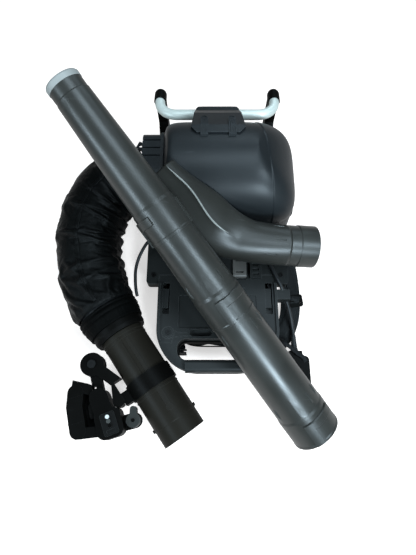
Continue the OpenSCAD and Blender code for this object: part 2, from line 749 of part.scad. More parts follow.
// Hand grip: a rounded column with ring grooves, joined to the control housing top and bottom
module guard_bow() color("#232629") on_grip() difference() {
    union() {
        translate([0, 0, 1]) linear_extrude(arm_t - 2)
            band_path([[0, -62], [-22, -46], [-40, -36], [-53, -74], [-61, -106], [-54, -grip_len - 14], [0, -grip_len - 24]], 10.5);
        translate([0, 0, 0]) linear_extrude(arm_t) band_path([[-45, -48], [-53, -76], [-55, -grip_len - 8]], 16.5);
        translate([0, 0, 1]) linear_extrude(3) polygon([[-50, -60], [-54, -grip_len - 14], [0, -grip_len - 20], [0, -62],
            [-22, -50], [-40, -42]]);
    }
    translate([0, 0, -1]) linear_extrude(arm_t + 2) {
        grip_plan(gap);
        translate([-10 - gap, -60]) square([22 + 2 * gap, 50]);
        circle(37);
    }
    for (y = [-58, -110]) translate([-80, y, arm_t - 1.2]) cube([50, 1.6, 3]);
    trigger_slot();
}

module trigger() color("#1a1c1e") on_grip() difference() {
    translate([0, 0, 6 + gap]) linear_extrude(18 - 2 * gap)
        band_path([trigger_at, [-21, -84], [-22, -104]], 5);
    translate([trigger_at[0], trigger_at[1], 0]) cylinder(r = 2.5 + run, h = 40);
}

module trigger_pin() color("#a8abae") on_grip() translate([trigger_at[0], trigger_at[1], 2.2])
    cylinder(r = 2.5, h = 25.4);

module keypad_panel() color("#5a6166") on_keypad() difference() {
    linear_extrude(6) rounded(31, 45, 4.6);
    for (y = key_rows) translate([0, y, 2]) cylinder(r = 4 + gap, h = 5);
    translate([0, -15, 5]) linear_extrude(3) rounded(18, 7, 1.5);
}

module on_keypad() on_grip() translate([keypad_at[0], keypad_at[1], arm_t]) rotate(4) children();

module key(y, shade) color(shade) on_keypad() translate([0, y, 2 + key_travel]) cylinder(r = 4, h = 5);

module power_button() key(key_rows[0], "#e6e6e6");
module mode_button() key(key_rows[1], "#8a8f94");
module boost_button() key(key_rows[2], "#30343a");

module cruise_lever() color("#596066") on_grip() difference() {
    translate([0, 0, 4 + gap]) linear_extrude(20) {
        translate(lever_at) circle(14.5);
        stadium(lever_at, lever_at + [5, 21], 7);
    }
    translate([lever_at[0], lever_at[1], 3]) cylinder(r = 4 + run, h = 30);
}

// ---------------------------------------------------------------- blow tube

module on_tube(z) on_axis(tube_a, tube_b) translate([0, 0, z]) children();

// Female end with its socket: wide rim, then the step down to the tube
function socket_profile(bore, r_tube, l) = [
    [bore + female_wall + 0.8, 0], [bore + female_wall + 0.8, 4], [bore + female_wall, 6],
    [bore + female_wall, joint_len - 2], [r_tube, joint_len + 4]
];

// Two L-shaped welts over the channels: one leg to the rim, one part of the way round
module welts(bore, turn) {
    r = bore + female_wall;
    top = pin_at + 9.6;
    for (a = [turn, turn + 180]) {
        rotate(a - 9) rotate_extrude(angle = 18) polygon([[r - 1, 0.5], [r + welt_rise - 1, 0.5],
            [r + welt_rise, 1.6], [r + welt_rise, top - 1.5], [r + welt_rise - 1.6, top], [r - 1, top]]);
        rotate(a - 6) rotate_extrude(angle = lock_turn + 16) polygon([[r - 1, top - 19], [r + welt_rise - 1.8, top - 19],
            [r + welt_rise - 0.2, top - 17.4], [r + welt_rise - 0.2, top - 2.2], [r + welt_rise - 1.8, top - 0.5],
            [r - 1, top - 0.5]]);
    }
}

// The channels themselves, cut from the bore
module channels(bore, turn) for (a = [turn, turn + 180]) rotate(a) {
    translate([bore - 1, -channel_w / 2, -1]) cube([channel_depth + 1, channel_w, pin_at + 1 + channel_w / 2]);
    rotate_extrude(angle = lock_turn) polygon([[bore - 1, pin_at - channel_w / 2],
        [bore + channel_depth - 0.2, pin_at - channel_w / 2], [bore + channel_depth - 0.2, pin_at + channel_w / 2 - 0.1],
        [bore - 1, pin_at + channel_w / 2 - 0.1]]);
}

// Pins that run in the channels of the next tube
module pins(r, z, turn) for (a = [turn, turn + 180])
    rotate(a) translate([r - 1.2, 0, z]) rotate([0, 90, 0]) cylinder(r = pin_r, h = pin_rise + 1.2);

// Thin tapered rib along the tube, from z0 to z1, where the tube's radius is r
module gusset(a, z0, z1, r) rotate(a) translate([0, 1.4, 0]) rotate([90, 0, 0]) linear_extrude(2.8)
    polygon([[r - 1.2, z0], [r - 1.2, z1], [r + 0.2, z1 - 1], [r + 2, (z0 + z1) / 2 + 6], [r + 2, (z0 + z1) / 2 - 6],
        [r + 0.2, z0 + 1]]);

module guide_groove(a, z0, z1, r) for (b = [a, a + 180])
    rotate(b) translate([r - 0.9, -0.8, z0]) cube([4, 1.6, z1 - z0]);

module tube_section(bore, r0, r1, l, male, turn, depth) difference() {
    union() {
        difference() {
            rotate_extrude() polygon(concat(
                [[bore, 0]],
                socket_profile(bore, r0, l),
                [[r1, l], [male, l], [male, l + joint_len - 4], [male - tube_wall, l + joint_len - 4],
                 [male - tube_wall, l - 8], [r1 - tube_wall, l - 12], [r0 - tube_wall, depth + 6],
                 [bore, depth]]));
            guide_groove(welt_turn - 2, 80, 114, r0 - 0.2);
        }
        welts(bore, turn);
        for (a = [-54, 42, 70], b = [0, 180])
            gusset(welt_turn + a + b, 79, 108, r0 - 0.3);
    }
    channels(bore, turn);
}

module tube_lower() color("#474e54") on_tube(0) {
    tube_section(end_bore, 51.2, mid_male_r + 2.6, lower_len, mid_male_r, welt_turn, inlet_len);
    pins(mid_male_r, lower_len + pin_at, welt_turn + pin_turn);
    for (a = [-50, 40, 69], b = [0, 180])
        gusset(welt_turn + a + b, lower_len - 38, lower_len - 9, mid_male_r + 2.8);
}

module tube_middle() color("#474e54") on_tube(lower_len + gap) {
    tube_section(mid_bore, 47.6, tip_male_r + 2.6, middle_len - gap, tip_male_r, welt_turn, joint_len);
    pins(tip_male_r, middle_len - gap + pin_at, welt_turn + 90 + pin_turn);
}

module tube_nozzle() color("#474e54") on_tube(lower_len + middle_len + gap) {
    difference() {
        union() {
            rotate_extrude() polygon(concat(
                [[tip_bore, 0]],
                socket_profile(tip_bore, tip_bore + 1.6, nozzle_len),
                [[tip_r + 1, nozzle_len - 22], [tip_r, nozzle_len - 20], [tip_r, nozzle_len],
                 [tip_r - tube_wall, nozzle_len], [tip_bore - 0.8, joint_len + 6], [tip_bore, joint_len]]));
            welts(tip_bore, welt_turn + 90);
        }
        channels(tip_bore, welt_turn + 90);
    }
    // catches of the end ring
    for (a = [150, 330]) rotate(a) translate([tip_r - 0.5, 0, nozzle_len - 31]) rotate([0, 90, 0]) cylinder(r = 2.6, h = 3.4);
}

module wear_ring() color("#c9c2b4") on_tube(lower_len + middle_len + nozzle_len + gap) rotate_extrude()
    polygon([[tip_r - tube_wall, 0.2], [tip_r + 1, 0.2], [tip_r + 1, 10], [tip_r - 1, 13], [tip_r - tube_wall, 13]]);

// ---------------------------------------------------------------- flat nozzle

function flat_line() = [[-131, 364, 271.3], [-44, 268, 228.8], [8, 252, 199.8], [146, 253, 177.8]];

function flat_ring(t, inset) = let (
    c = bezier(flat_line(), t), d = heading(flat_line(), t),
    k = pow(1 - t, 1.3),
    a = lerp(tip_bore + female_wall - 0.6, mouth_w / 2, k) - inset,
    b = lerp(tip_bore + female_wall - 0.6, mouth_h / 2, pow(1 - t, 0.8)) - inset,
    n = lerp(2, 5, pow(1 - t, 2)),
    roll = -20
) [for (s = [0 : 31]) let (q = -11.25 * s, x = a * power(cos(q), n), y = b * power(sin(q), n))
    off_path(c, d, atan2(y, x) + roll, norm([x, y]))];

module flat_nozzle() color("#4b5359")
    hollow_loft([for (i = [0 : 14]) flat_ring(i / 14, 0)], [for (i = [0 : 14]) flat_ring(i / 14, nozzle_wall)]);

module nozzle_collar() color("#4b5359") {
    dir = heading(flat_line(), 1);
    on_axis(flat_line()[3] + gap * dir, flat_line()[3] + 60 * dir) rotate_extrude()
        polygon([[tip_bore, 0], [tip_bore + female_wall - 0.6, 0], [tip_bore + female_wall - 0.6, 20],
            [tip_bore + female_wall + 0.8, 22], [tip_bore + female_wall + 0.8, 60], [tip_bore, 60]]);
}

// ---------------------------------------------------------------- cables

power_route = [
    [90, 258, 82], [90, 266, 82], [98, 275, 84], [112, 266, 86], [124, 246, 86], [133, 225, 85],
    [141, 207, 83], [149, 192, 78], [156, 178, 67], [163, 164, 56], [168, 150, 49], [173, 133, 41],
    [177, 115, 32], [180, 99, 25], [180, 89, 24]
];
relief_len = 38;
plug_at = [180, 88 - relief_len, 24];

module power_cable() color("#101214") cord(power_route, 4.2, 10);

module cable_relief() color("#0e0f11") translate([180, 88, 24]) rotate([90, 0, 0]) rotate_extrude() polygon(concat(
    [[0, 0], [6, 0]],
    [for (i = [0 : 5]) for (p = [[6.2 + i * 0.35, i * 5 + 1], [5.2 + i * 0.35, i * 5 + 3.4]]) p],
    [[9, relief_len - 4], [9, relief_len], [0, relief_len]]));

module power_plug() color("#17191b") difference() {
    translate([plug_at[0], plug_at[1], 2]) {
        translate([-15, -14, 6]) cube([30, 14, 32]);
        translate([6, -50, 0]) linear_extrude(41) rounded(46, 76, 10);
    }
    translate([plug_at[0] - 8, plug_at[1] - 100, 12]) cube([28, 30, 26]);
}

module cable_keeper() color("#141618") difference() {
    translate([dock_w / 2, 162, 50]) cube([30, 24, 28]);
    on_axis([149, 192, 78], [156, 178, 67]) translate([0, 0, -10]) cylinder(r = 4.7, h = 70);
}

control_route = [
    [-158, 299, 104], [-166, 292, 104], [-176, 276, 100], [-186, 256, 92], [-192, 234, 84],
    [-193, 212, 76], [-192, 192, 68], [-189, 175, 60]
];

module control_cable() color("#0f1113") cord(control_route, 3.8, 8);

module cable_glands() color("#1a1c1e") {
    translate([-108, 305.6, 98]) cube([14, 12, 12]);
    translate([-150, 302, 100]) cube([50, 8, 8]);
    on_axis([-146, 306, 104], control_route[0])
        cylinder(r = 6, h = norm(control_route[0] - [-146, 306, 104]) - 0.7);
}

// ---------------------------------------------------------------- harness

// A flat cushion: crowned top and drawn-in sides between two heights
module cushion(w, l, z0, z1, crown) {
    n = 6;
    loft([for (j = [0 : n]) let (t = j / n, z = lerp(z0, z1, t), s = 1 - crown * pow(abs(2 * t - 1), 3))
        [for (i = [0 : 35]) let (a = -10 * i) [w / 2 * power(cos(a), 4) * s, l / 2 * power(sin(a), 4) * s, z]]]);
}

module back_pad() color("#1b1e20") for (y = [128, 268]) translate([0, y, 0])
    cushion(178, 130, 0, frame_z - gap, 0.09);

module strap(points, w) {
    translate([0, 0, 1.5]) linear_extrude(13) band_path(points, w);
    for (p = [points[0], points[len(points) - 1]])
        translate([p[0] - 15, p[1] - 12, 12]) cube([30, 24, frame_z - 12 - gap]);
}

module strap_right() color("#17191b")
    strap([[88, 50], [144, 76], [176, 134], [182, 220], [166, 310], [108, 368]], 24);

module strap_left() color("#17191b")
    strap([[-84, 50], [-106, 84], [-117, 150], [-117, 230], [-115, 310], [-100, 368]], 18);

module hip_belt() color("#1a1d1f") {
    translate([0, 0, 0]) linear_extrude(20) difference() {
        band_path([[-186, 430], [-100, 446], [110, 446], [206, 434]], 30);
        translate([fan_x, fan_y]) circle(2);
    }
    for (x = [-118, 96]) translate([x, 434, 18]) cube([22, 24, frame_z - 18 - gap]);
}

module strap_adjusters() color("#121416") {
    translate([190, 176, 14.8]) rotate(6) difference() {
        linear_extrude(6) rounded(40, 30, 5);
        for (y = [-7, 5]) translate([-14, y, -1]) cube([28, 4, 10]);
    }
    translate([-116, 180, 14.8]) difference() {
        linear_extrude(6) rounded(36, 28, 5);
        for (y = [-7, 5]) translate([-12, y, -1]) cube([24, 4, 10]);
    }
}

module placed() translate([-origin_x, -origin_y, 0]) children();

placed() harness_frame();
placed() dock_plate();
placed() housing_front();
placed() housing_rear();
placed() inlet_grille();
placed() motor_mount();
placed() motor_stator();
placed() motor_bearings();
placed() motor_rotor();
placed() impeller();
placed() control_box();
placed() outlet_duct();
placed() duct_gasket();
placed() duct_band();
placed() foot_bar();
placed() bar_clamp();
placed() bar_saddle();
placed() clamp_screws();
placed() dock_screws();
placed() terminal_block();
placed() cable_keeper();
placed() battery_latch();
placed() power_cable();
placed() cable_relief();
placed() power_plug();
placed() control_cable();
placed() cable_glands();
placed() hose_bellows();
placed() hose_sleeve();
placed() hose_cuff();
placed() hose_collar();
placed() swivel_pipe();
placed() handle_clamp();
placed() clamp_knob();
placed() handle_arm();
placed() tilt_bolt();
placed() grip_body();
placed() grip_cover();
placed() guard_bow();
placed() trigger();
placed() trigger_pin();
placed() keypad_panel();
placed() power_button();
placed() mode_button();
placed() boost_button();
placed() cruise_lever();
placed() tube_lower();
placed() tube_middle();
placed() tube_nozzle();
placed() wear_ring();
placed() flat_nozzle();
placed() nozzle_collar();
placed() back_pad();
placed() strap_left();
placed() strap_right();
placed() hip_belt();
placed() strap_adjusters();
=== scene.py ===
import json
import math
import bpy
import bmesh
import numpy as np
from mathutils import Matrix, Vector, noise


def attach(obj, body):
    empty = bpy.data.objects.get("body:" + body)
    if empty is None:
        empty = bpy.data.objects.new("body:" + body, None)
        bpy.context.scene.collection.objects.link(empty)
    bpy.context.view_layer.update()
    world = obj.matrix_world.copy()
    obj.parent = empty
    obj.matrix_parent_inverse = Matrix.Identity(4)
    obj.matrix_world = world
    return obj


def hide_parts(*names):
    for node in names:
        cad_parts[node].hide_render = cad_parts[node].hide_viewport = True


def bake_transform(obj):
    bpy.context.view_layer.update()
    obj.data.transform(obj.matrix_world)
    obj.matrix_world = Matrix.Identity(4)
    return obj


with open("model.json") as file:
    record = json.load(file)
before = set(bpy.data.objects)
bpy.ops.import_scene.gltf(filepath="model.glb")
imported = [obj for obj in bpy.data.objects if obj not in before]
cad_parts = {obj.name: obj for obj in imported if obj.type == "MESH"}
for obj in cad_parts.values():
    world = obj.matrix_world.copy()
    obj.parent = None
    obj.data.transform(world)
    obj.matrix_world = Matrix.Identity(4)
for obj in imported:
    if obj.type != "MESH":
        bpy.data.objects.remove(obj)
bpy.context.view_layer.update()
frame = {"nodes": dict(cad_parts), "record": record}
bpy.ops.object.select_all(action="DESELECT")
NODES = frame["nodes"]
scene = bpy.context.scene
scene.view_settings.view_transform = "Standard"

# ---------------------------------------------------------------- camera, floor and light
# The blower lies on a plain pale floor, under five soft lamps of a cool white and a dim sky.
# The camera stands over the handle end and looks down on it. The floor sends less light back to the
# blower than the camera sees on it, so that black pieces stay dark.

camera = bpy.data.objects.new("camera", bpy.data.cameras.new("camera"))
scene.collection.objects.link(camera)
camera.location = (0.046, -0.3736, 1.0)
camera.rotation_euler = (math.radians(20), 0, 0)
camera.data.lens = 27.05
camera.data.sensor_width = 36
camera.data.clip_end = 50
scene.camera = camera


def put(tree, kind, sockets=(), **options):
    """Adds a node to a material or group, sets its options and values, and joins what feeds it."""
    node = tree.nodes.new("ShaderNode" + kind)
    for option, value in options.items():
        setattr(node, option, value)
    for name, value in dict(sockets).items():
        if isinstance(value, bpy.types.NodeSocket):
            tree.links.new(value, node.inputs[name])
        else:
            node.inputs[name].default_value = value
    return node


def new_material(name):
    """A bare material: its tree and its shader."""
    made = bpy.data.materials.new(name)
    made.use_nodes = True
    shader = made.node_tree.nodes["Principled BSDF"]
    return made, made.node_tree, shader


def cover(piece, made):
    """Gives the whole piece one material."""
    piece.data.materials.clear()
    piece.data.materials.append(made)
    for face in piece.data.polygons:
        face.material_index = 0


bpy.ops.mesh.primitive_grid_add(x_subdivisions=4, y_subdivisions=4, size=14, location=(0, 0, -0.0008))
floor = bpy.context.object
floor.name = "floor"
floor_paint, tree, shader = new_material("floor_paint")
FLOOR_TONE, FLOOR_RETURN, FLOOR_IN_GLOSS, FLOOR_GLOW = (0.86, 0.9), 0.4, 0.3, 0.6
shade = put(tree, "TexNoise", {"Scale": 1.5, "Detail": 3.0})
path = put(tree, "LightPath").outputs
seen = put(tree, "Math", {0: path["Is Glossy Ray"], 1: path["Is Transmission Ray"]}, operation="MAXIMUM").outputs[0]
seen = put(tree, "Math", {0: seen, 1: FLOOR_IN_GLOSS}, operation="MULTIPLY").outputs[0]
seen = put(tree, "Math", {0: path["Is Camera Ray"], 1: seen}, operation="MAXIMUM").outputs[0]
tone = put(tree, "MapRange", {"Value": shade.outputs["Fac"],
                              "To Min": FLOOR_TONE[0], "To Max": FLOOR_TONE[1]}).outputs[0]
returned = put(tree, "MapRange", {"Value": seen, "To Min": FLOOR_RETURN, "To Max": 1.0}).outputs[0]
tone = put(tree, "Math", {0: tone, 1: returned}, operation="MULTIPLY").outputs[0]
WARM = (1.02, 0.84, 0.75)
paint = put(tree, "CombineColor", {i: put(tree, "Math", {0: tone, 1: WARM[i]}, operation="MULTIPLY").outputs[0]
                                   for i in (0, 1, 2)}).outputs[0]
tree.links.new(paint, shader.inputs["Base Color"])
shader.inputs["Roughness"].default_value = 0.8
shader.inputs["Specular IOR Level"].default_value = 0.2
shader.inputs["Emission Color"].default_value = (1, 1, 1, 1)
glow = put(tree, "Math", {0: seen, 1: FLOOR_GLOW}, operation="MULTIPLY").outputs[0]
tree.links.new(glow, shader.inputs["Emission Strength"])
cover(floor, floor_paint)

world = bpy.data.worlds.new("studio")
scene.world = world
world.use_nodes = True
world.node_tree.nodes["Background"].inputs["Color"].default_value = (0.8, 0.92, 1, 1)
world.node_tree.nodes["Background"].inputs["Strength"].default_value = 0.12


def lamp(name, place, aim, wide, high, watts):
    """A soft blue-white lamp turned to its aim."""
    made = bpy.data.objects.new(name, bpy.data.lights.new(name, "AREA"))
    scene.collection.objects.link(made)
    made.location = place
    made.rotation_euler = (Vector(aim) - Vector(place)).to_track_quat("-Z", "Y").to_euler()
    made.data.shape = "RECTANGLE"
    made.data.size, made.data.size_y = wide, high
    made.data.energy = watts
    made.data.color = (0.7, 0.88, 1)


lamp("top_lamp", (0.28, 0.27, 1.77), (0.05, 0.05, 0.2), 0.7, 0.7, 11)
lamp("front_lamp", (0.64, -1.28, 1.12), (0.14, -0.2, 0.15), 0.35, 0.35, 27)
lamp("left_lamp", (-1.02, -0.86, 1.02), (0, 0, 0.25), 1.0, 0.2, 16)
lamp("right_lamp", (0.85, -0.4, 1.45), (0.17, 0, 0.18), 0.4, 0.4, 12)
lamp("back_lamp", (0.5, 1.8, 1.5), (0, 0.1, 0.1), 1.0, 1.0, 9)

# ---------------------------------------------------------------- power cable, relief and plug
# A rubber lead leaves the terminal block, passes the keeper on the dock's edge and drops to the
# battery plug beside the frame. A ribbed rubber relief guards it where it enters the plug.


def at(x, y, z):
    """A point of the machine, in millimetres from the harness's top edge, as a point of the row."""
    return Vector(((x + 68) / 1000, (y - 253.6) / 1000, z / 1000))


def skin_group(name, inputs):
    """A node group that puts out a colour, a roughness and a normal, with the inputs given."""
    group = bpy.data.node_groups.new(name, "ShaderNodeTree")
    for label, kind, value in inputs:
        socket = group.interface.new_socket(label, in_out="INPUT", socket_type="NodeSocket" + kind)
        socket.default_value = value
    for label, kind in (("Colour", "Color"), ("Roughness", "Float"), ("Normal", "Vector")):
        group.interface.new_socket(label, in_out="OUTPUT", socket_type="NodeSocket" + kind)
    return group, group.nodes.new("NodeGroupInput").outputs, group.nodes.new("NodeGroupOutput").inputs


def mix(tree, how, share, a, b):
    """Mixes two colours."""
    node = put(tree, "Mix", data_type="RGBA", blend_type=how)
    for socket, value in ((node.inputs[0], share), (node.inputs[6], a), (node.inputs[7], b)):
        if isinstance(value, bpy.types.NodeSocket):
            tree.links.new(value, socket)
        else:
            socket.default_value = value
    return node.outputs[2]


def span(tree, value, low, high, to_low, to_high):
    """Stretches a value from one range to another and stops at the ends."""
    return put(tree, "MapRange", {"Value": value, "From Min": low, "From Max": high,
                                  "To Min": to_low, "To Max": to_high}).outputs[0]


# Moulded plastic and rubber: faint cloudy tone, rubbed streaks, pale edges and a fine spark-eroded grain
moulded, given, out = skin_group("moulded_skin", (
    ("Colour", "Color", (0.05, 0.05, 0.05, 1)), ("Rubbed", "Color", (0.2, 0.2, 0.2, 1)),
    ("Base roughness", "Float", 0.5), ("Grain scale", "Float", 1400.0), ("Grain depth", "Float", 0.1),
    ("Edge", "Float", 0.5), ("Dust", "Float", 0.1)))
where = put(moulded, "TexCoord").outputs["Object"]
cloud = put(moulded, "TexNoise", {"Vector": where, "Scale": 9.0, "Detail": 4.0}).outputs["Fac"]
scratch_map = put(moulded, "Mapping", {"Vector": where, "Rotation": (0.3, 0.2, 0.9), "Scale": (14, 260, 40)})
scratch = put(moulded, "TexNoise", {"Vector": scratch_map.outputs[0], "Scale": 1.0, "Detail": 2.0}).outputs["Fac"]
patch = put(moulded, "TexNoise", {"Vector": where, "Scale": 22.0, "Detail": 2.0}).outputs["Fac"]
rubbed = put(moulded, "Math", {0: span(moulded, scratch, 0.66, 0.74, 0, 0.35),
                               1: span(moulded, patch, 0.5, 0.68, 0, 1)}, operation="MULTIPLY").outputs[0]
soft_edge = put(moulded, "Bevel", {"Radius": 0.0016}, samples=4).outputs[0]
facing = put(moulded, "NewGeometry").outputs["Normal"]
turn = put(moulded, "VectorMath", {0: soft_edge, 1: facing}, operation="DOT_PRODUCT").outputs["Value"]
edge = put(moulded, "Math", {0: span(moulded, turn, 0.96, 0.8, 0, 1), 1: given["Edge"]},
           operation="MULTIPLY").outputs[0]
worn = put(moulded, "Math", {0: edge, 1: rubbed}, operation="MAXIMUM").outputs[0]
clouds = put(moulded, "CombineColor", {i: span(moulded, cloud, 0.3, 0.7, 0.86, 1.12) for i in (0, 1, 2)})
cloudy = mix(moulded, "MULTIPLY", 1.0, given["Colour"], clouds.outputs[0])
shown = mix(moulded, "MIX", worn, cloudy, given["Rubbed"])
up = put(moulded, "SeparateXYZ", {0: facing}).outputs[2]
settled = put(moulded, "Math", {0: span(moulded, up, 0.3, 1.0, 0, 1), 1: span(moulded, patch, 0.35, 0.7, 0.2, 1)},
              operation="MULTIPLY").outputs[0]
dust = put(moulded, "Math", {0: settled, 1: given["Dust"]}, operation="MULTIPLY").outputs[0]
moulded.links.new(mix(moulded, "MIX", dust, shown, (0.2, 0.2, 0.19, 1)), out["Colour"])
rough = put(moulded, "Math", {0: given["Base roughness"], 1: span(moulded, cloud, 0.3, 0.7, -0.04, 0.06)},
            operation="ADD")
duller = put(moulded, "Math", {0: worn, 1: 0.12}, operation="MULTIPLY").outputs[0]
rough = put(moulded, "Math", {0: rough.outputs[0], 1: duller}, operation="ADD")
moulded.links.new(rough.outputs[0], out["Roughness"])
grain = put(moulded, "TexNoise", {"Vector": where, "Scale": given["Grain scale"], "Detail": 2.0}).outputs["Fac"]
dents = put(moulded, "Bump", {"Strength": given["Grain depth"], "Distance": 0.0003, "Height": grain})
moulded.links.new(dents.outputs[0], out["Normal"])


def plastic(name, colour, rubbed, roughness, grain=1400.0, depth=0.25, edge=0.5, dust=0.1, gloss=0.5):
    """A moulded finish of one colour."""
    made, tree, shader = new_material(name)
    skin = put(tree, "Group", node_tree=moulded)
    for label, value in (("Colour", (*colour, 1)), ("Rubbed", (*rubbed, 1)), ("Base roughness", roughness),
                         ("Grain scale", grain), ("Grain depth", depth), ("Edge", edge), ("Dust", dust)):
        skin.inputs[label].default_value = value
    for label, socket in (("Colour", "Base Color"), ("Roughness", "Roughness"), ("Normal", "Normal")):
        tree.links.new(skin.outputs[label], shader.inputs[socket])
    shader.inputs["Specular IOR Level"].default_value = gloss
    return made


def smooth_path(points, steps):
    """Points of a smooth line through the given ones."""
    ends = [points[0] * 2 - points[1], *points, points[-1] * 2 - points[-2]]
    line = []
    for a, b, c, d in zip(ends, ends[1:], ends[2:], ends[3:]):
        for i in range(steps):
            t = i / steps
            line.append(0.5 * (2 * b + (c - a) * t + (2 * a - 5 * b + 4 * c - d) * t ** 2
                               + (3 * b - a - 3 * c + d) * t ** 3))
    return line + [points[-1]]


def path_frames(line, first_side=None):
    """Point, heading, side and up along a line, turned as little as may be."""
    found, side = [], first_side
    for i, point in enumerate(line):
        ahead = (line[min(i + 1, len(line) - 1)] - line[max(i - 1, 0)]).normalized()
        side = ahead.cross(Vector((0, 0, 1))) if side is None else side - side.dot(ahead) * ahead
        side.normalize()
        found.append((point, ahead, side, side.cross(ahead)))
    return found


def woven_skin(name, rows, round_section=True, ends=True, ring=False):
    """A piece from rows of points, with its own UV in metres: round the section and along the rows."""
    if ring:
        rows = rows + rows[:1]
    count, columns = len(rows), len(rows[0])
    corners = [tuple(corner) for row in rows for corner in row]
    across = columns if round_section else columns - 1
    faces = []
    for i in range(count - 1):
        for k in range(across):
            here, later = i * columns, (i + 1) * columns
            faces.append([here + k, here + (k + 1) % columns, later + (k + 1) % columns, later + k])
    quads = len(faces)
    if ends and round_section:
        faces += [list(range(columns))[::-1], [(count - 1) * columns + k for k in range(columns)]]
    data = bpy.data.meshes.new(name)
    data.from_pydata(corners, [], faces)
    girth = max(sum((Vector(row[k]) - Vector(row[k - 1])).length for k in range(columns)) for row in rows) / columns
    travel = [0.0]
    for row, later in zip(rows, rows[1:]):
        travel.append(travel[-1] + sum((Vector(q) - Vector(p)).length for p, q in zip(row, later)) / columns)
    unrolled = data.uv_layers.new(name="unrolled").data
    for index in range(quads):
        i, k = divmod(index, across)
        for loop, (u, v) in zip(data.polygons[index].loop_indices,
                                ((k, travel[i]), (k + 1, travel[i]), (k + 1, travel[i + 1]), (k, travel[i + 1]))):
            unrolled[loop].uv = (u * girth, v)
    data.polygons.foreach_set("use_smooth", [True] * len(data.polygons))
    piece = bpy.data.objects.new(name, data)
    scene.collection.objects.link(piece)
    middle = sum((Vector(c) for c in rows[0]), Vector()) / columns
    inside_out = round_section and data.polygons[0].normal.dot(data.polygons[0].center - middle) < 0
    if inside_out:
        data.flip_normals()
    if ring:
        tools = bmesh.new()
        tools.from_mesh(data)
        bmesh.ops.remove_doubles(tools, verts=tools.verts, dist=1e-6)
        tools.to_mesh(data)
        tools.free()
    return piece


def ring_of(frame_here, radius, sides):
    """A round section: radius may be a number or a rule of the angle."""
    point, _, side, up = frame_here
    turns = [2 * math.pi * k / sides for k in range(sides)]
    return [point + (radius(a) if callable(radius) else radius) * (math.cos(a) * side + math.sin(a) * up)
            for a in turns]


def lead(name, line, radius, sides=14):
    """A round tube along a line: radius may be a number or a rule of the share of its length."""
    shares = [i / (len(line) - 1) for i in range(len(line))]
    return woven_skin(name, [ring_of(here, radius(t) if callable(radius) else radius, sides)
                             for here, t in zip(path_frames(line), shares)])


rubber = plastic("cable_rubber", (0.012, 0.013, 0.014), (0.06, 0.062, 0.064), 0.42, 900.0, 0.12, 0.2, 0.03, 0.3)
power_route = [at(*p) for p in (
    (90, 258, 82), (90, 266, 82), (98, 275, 84), (112, 266, 86), (124, 246, 86), (133, 225, 85),
    (141, 207, 83), (149, 192, 78), (156, 178, 67), (163, 164, 56), (168, 150, 49), (173, 133, 41),
    (177, 115, 32), (180, 99, 25), (180, 89, 24))]
power_line = smooth_path(power_route, 5)
power_cable = lead("power_cable_lead", power_line, 0.0042)
cover(power_cable, rubber)
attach(power_cable, "machine")
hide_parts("power_cable")

RELIEF_LENGTH, RELIEF_RIB = 38, 5
relief_rings = [at(180, 88.3 - RELIEF_LENGTH * t, 24) for t in (i / 76 for i in range(77))]


def relief_size(t):
    """Radius of the relief: ribs on a cone that ends in a collar."""
    rib = 0.5 + 0.5 * math.cos(2 * math.pi * t * RELIEF_LENGTH / RELIEF_RIB)
    return (0.0052 + 0.0022 * t + 0.0012 * rib ** 2) if t < 0.86 else 0.0088


relief = lead("cable_relief_ribs", relief_rings, relief_size, 24)
cover(relief, rubber)
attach(relief, "machine")
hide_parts("cable_relief")

# ---------------------------------------------------------------- control cable
# The handle's lead is rubber too. It leaves its gland on the outlet side and arcs towards the sleeve's
# hem. The real one goes on inside the sleeve; this one stops a few millimetres short of it, a known fault.

control_route = [at(*p) for p in (
    (-158, 299, 104), (-166, 292, 104), (-176, 276, 100), (-186, 256, 92), (-192, 234, 84),
    (-193, 212, 76), (-192, 192, 68), (-189, 175, 60))]
control_line = smooth_path(control_route, 6)
control_cable = lead("control_cable_lead", control_line, 0.0038, 12)
cover(control_cable, rubber)
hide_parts("control_cable")
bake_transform(control_cable)

# ---------------------------------------------------------------- finishes of the moulded and metal parts
# Housings and tubes are through-dyed grey plastic with a fine grain; frame and handle are black.
# The metal parts are zinc-plated steel, black zinc, cast alloy and satin anodised aluminium.

FINISH = {
    "grey_plastic": plastic("grey_moulding", (0.024, 0.0235, 0.0205), (0.09, 0.09, 0.085),
                            0.34, 1500.0, 0.16, 0.3, 0.02),
    "black_plastic": plastic("black_moulding", (0.0024, 0.0022, 0.0019), (0.02, 0.02, 0.019),
                             0.42, 1300.0, 0.25, 0.3, 0.004, 0.05),
    "dark_plastic": plastic("dark_moulding", (0.0125, 0.0105, 0.0078), (0.05, 0.046, 0.04),
                            0.42, 1500.0, 0.2, 0.3, 0.008, 0.07),
    "light_plastic": plastic("pale_moulding", (0.075, 0.07, 0.064), (0.2, 0.19, 0.18), 0.40, 1500.0, 0.15, 0.4, 0.03),
    "white_plastic": plastic("white_moulding", (0.72, 0.72, 0.7), (0.8, 0.8, 0.8), 0.35, 1500.0, 0.05, 0.1, 0.05),
    "pale_ring": plastic("pale_ring_moulding", (0.3, 0.3, 0.285), (0.46, 0.46, 0.44), 0.5, 900.0, 0.2, 0.4, 0.05),
    "black_rubber": rubber,
    "copper": plastic("copper_winding", (0.3, 0.12, 0.05), (0.5, 0.3, 0.2), 0.4, 600.0, 0.3, 0.2, 0.0),
    "black_fabric": plastic("plain_black_cloth", (0.010, 0.011, 0.012), (0.03, 0.03, 0.03), 0.8, 900.0, 0.6, 0.1, 0.1),
}


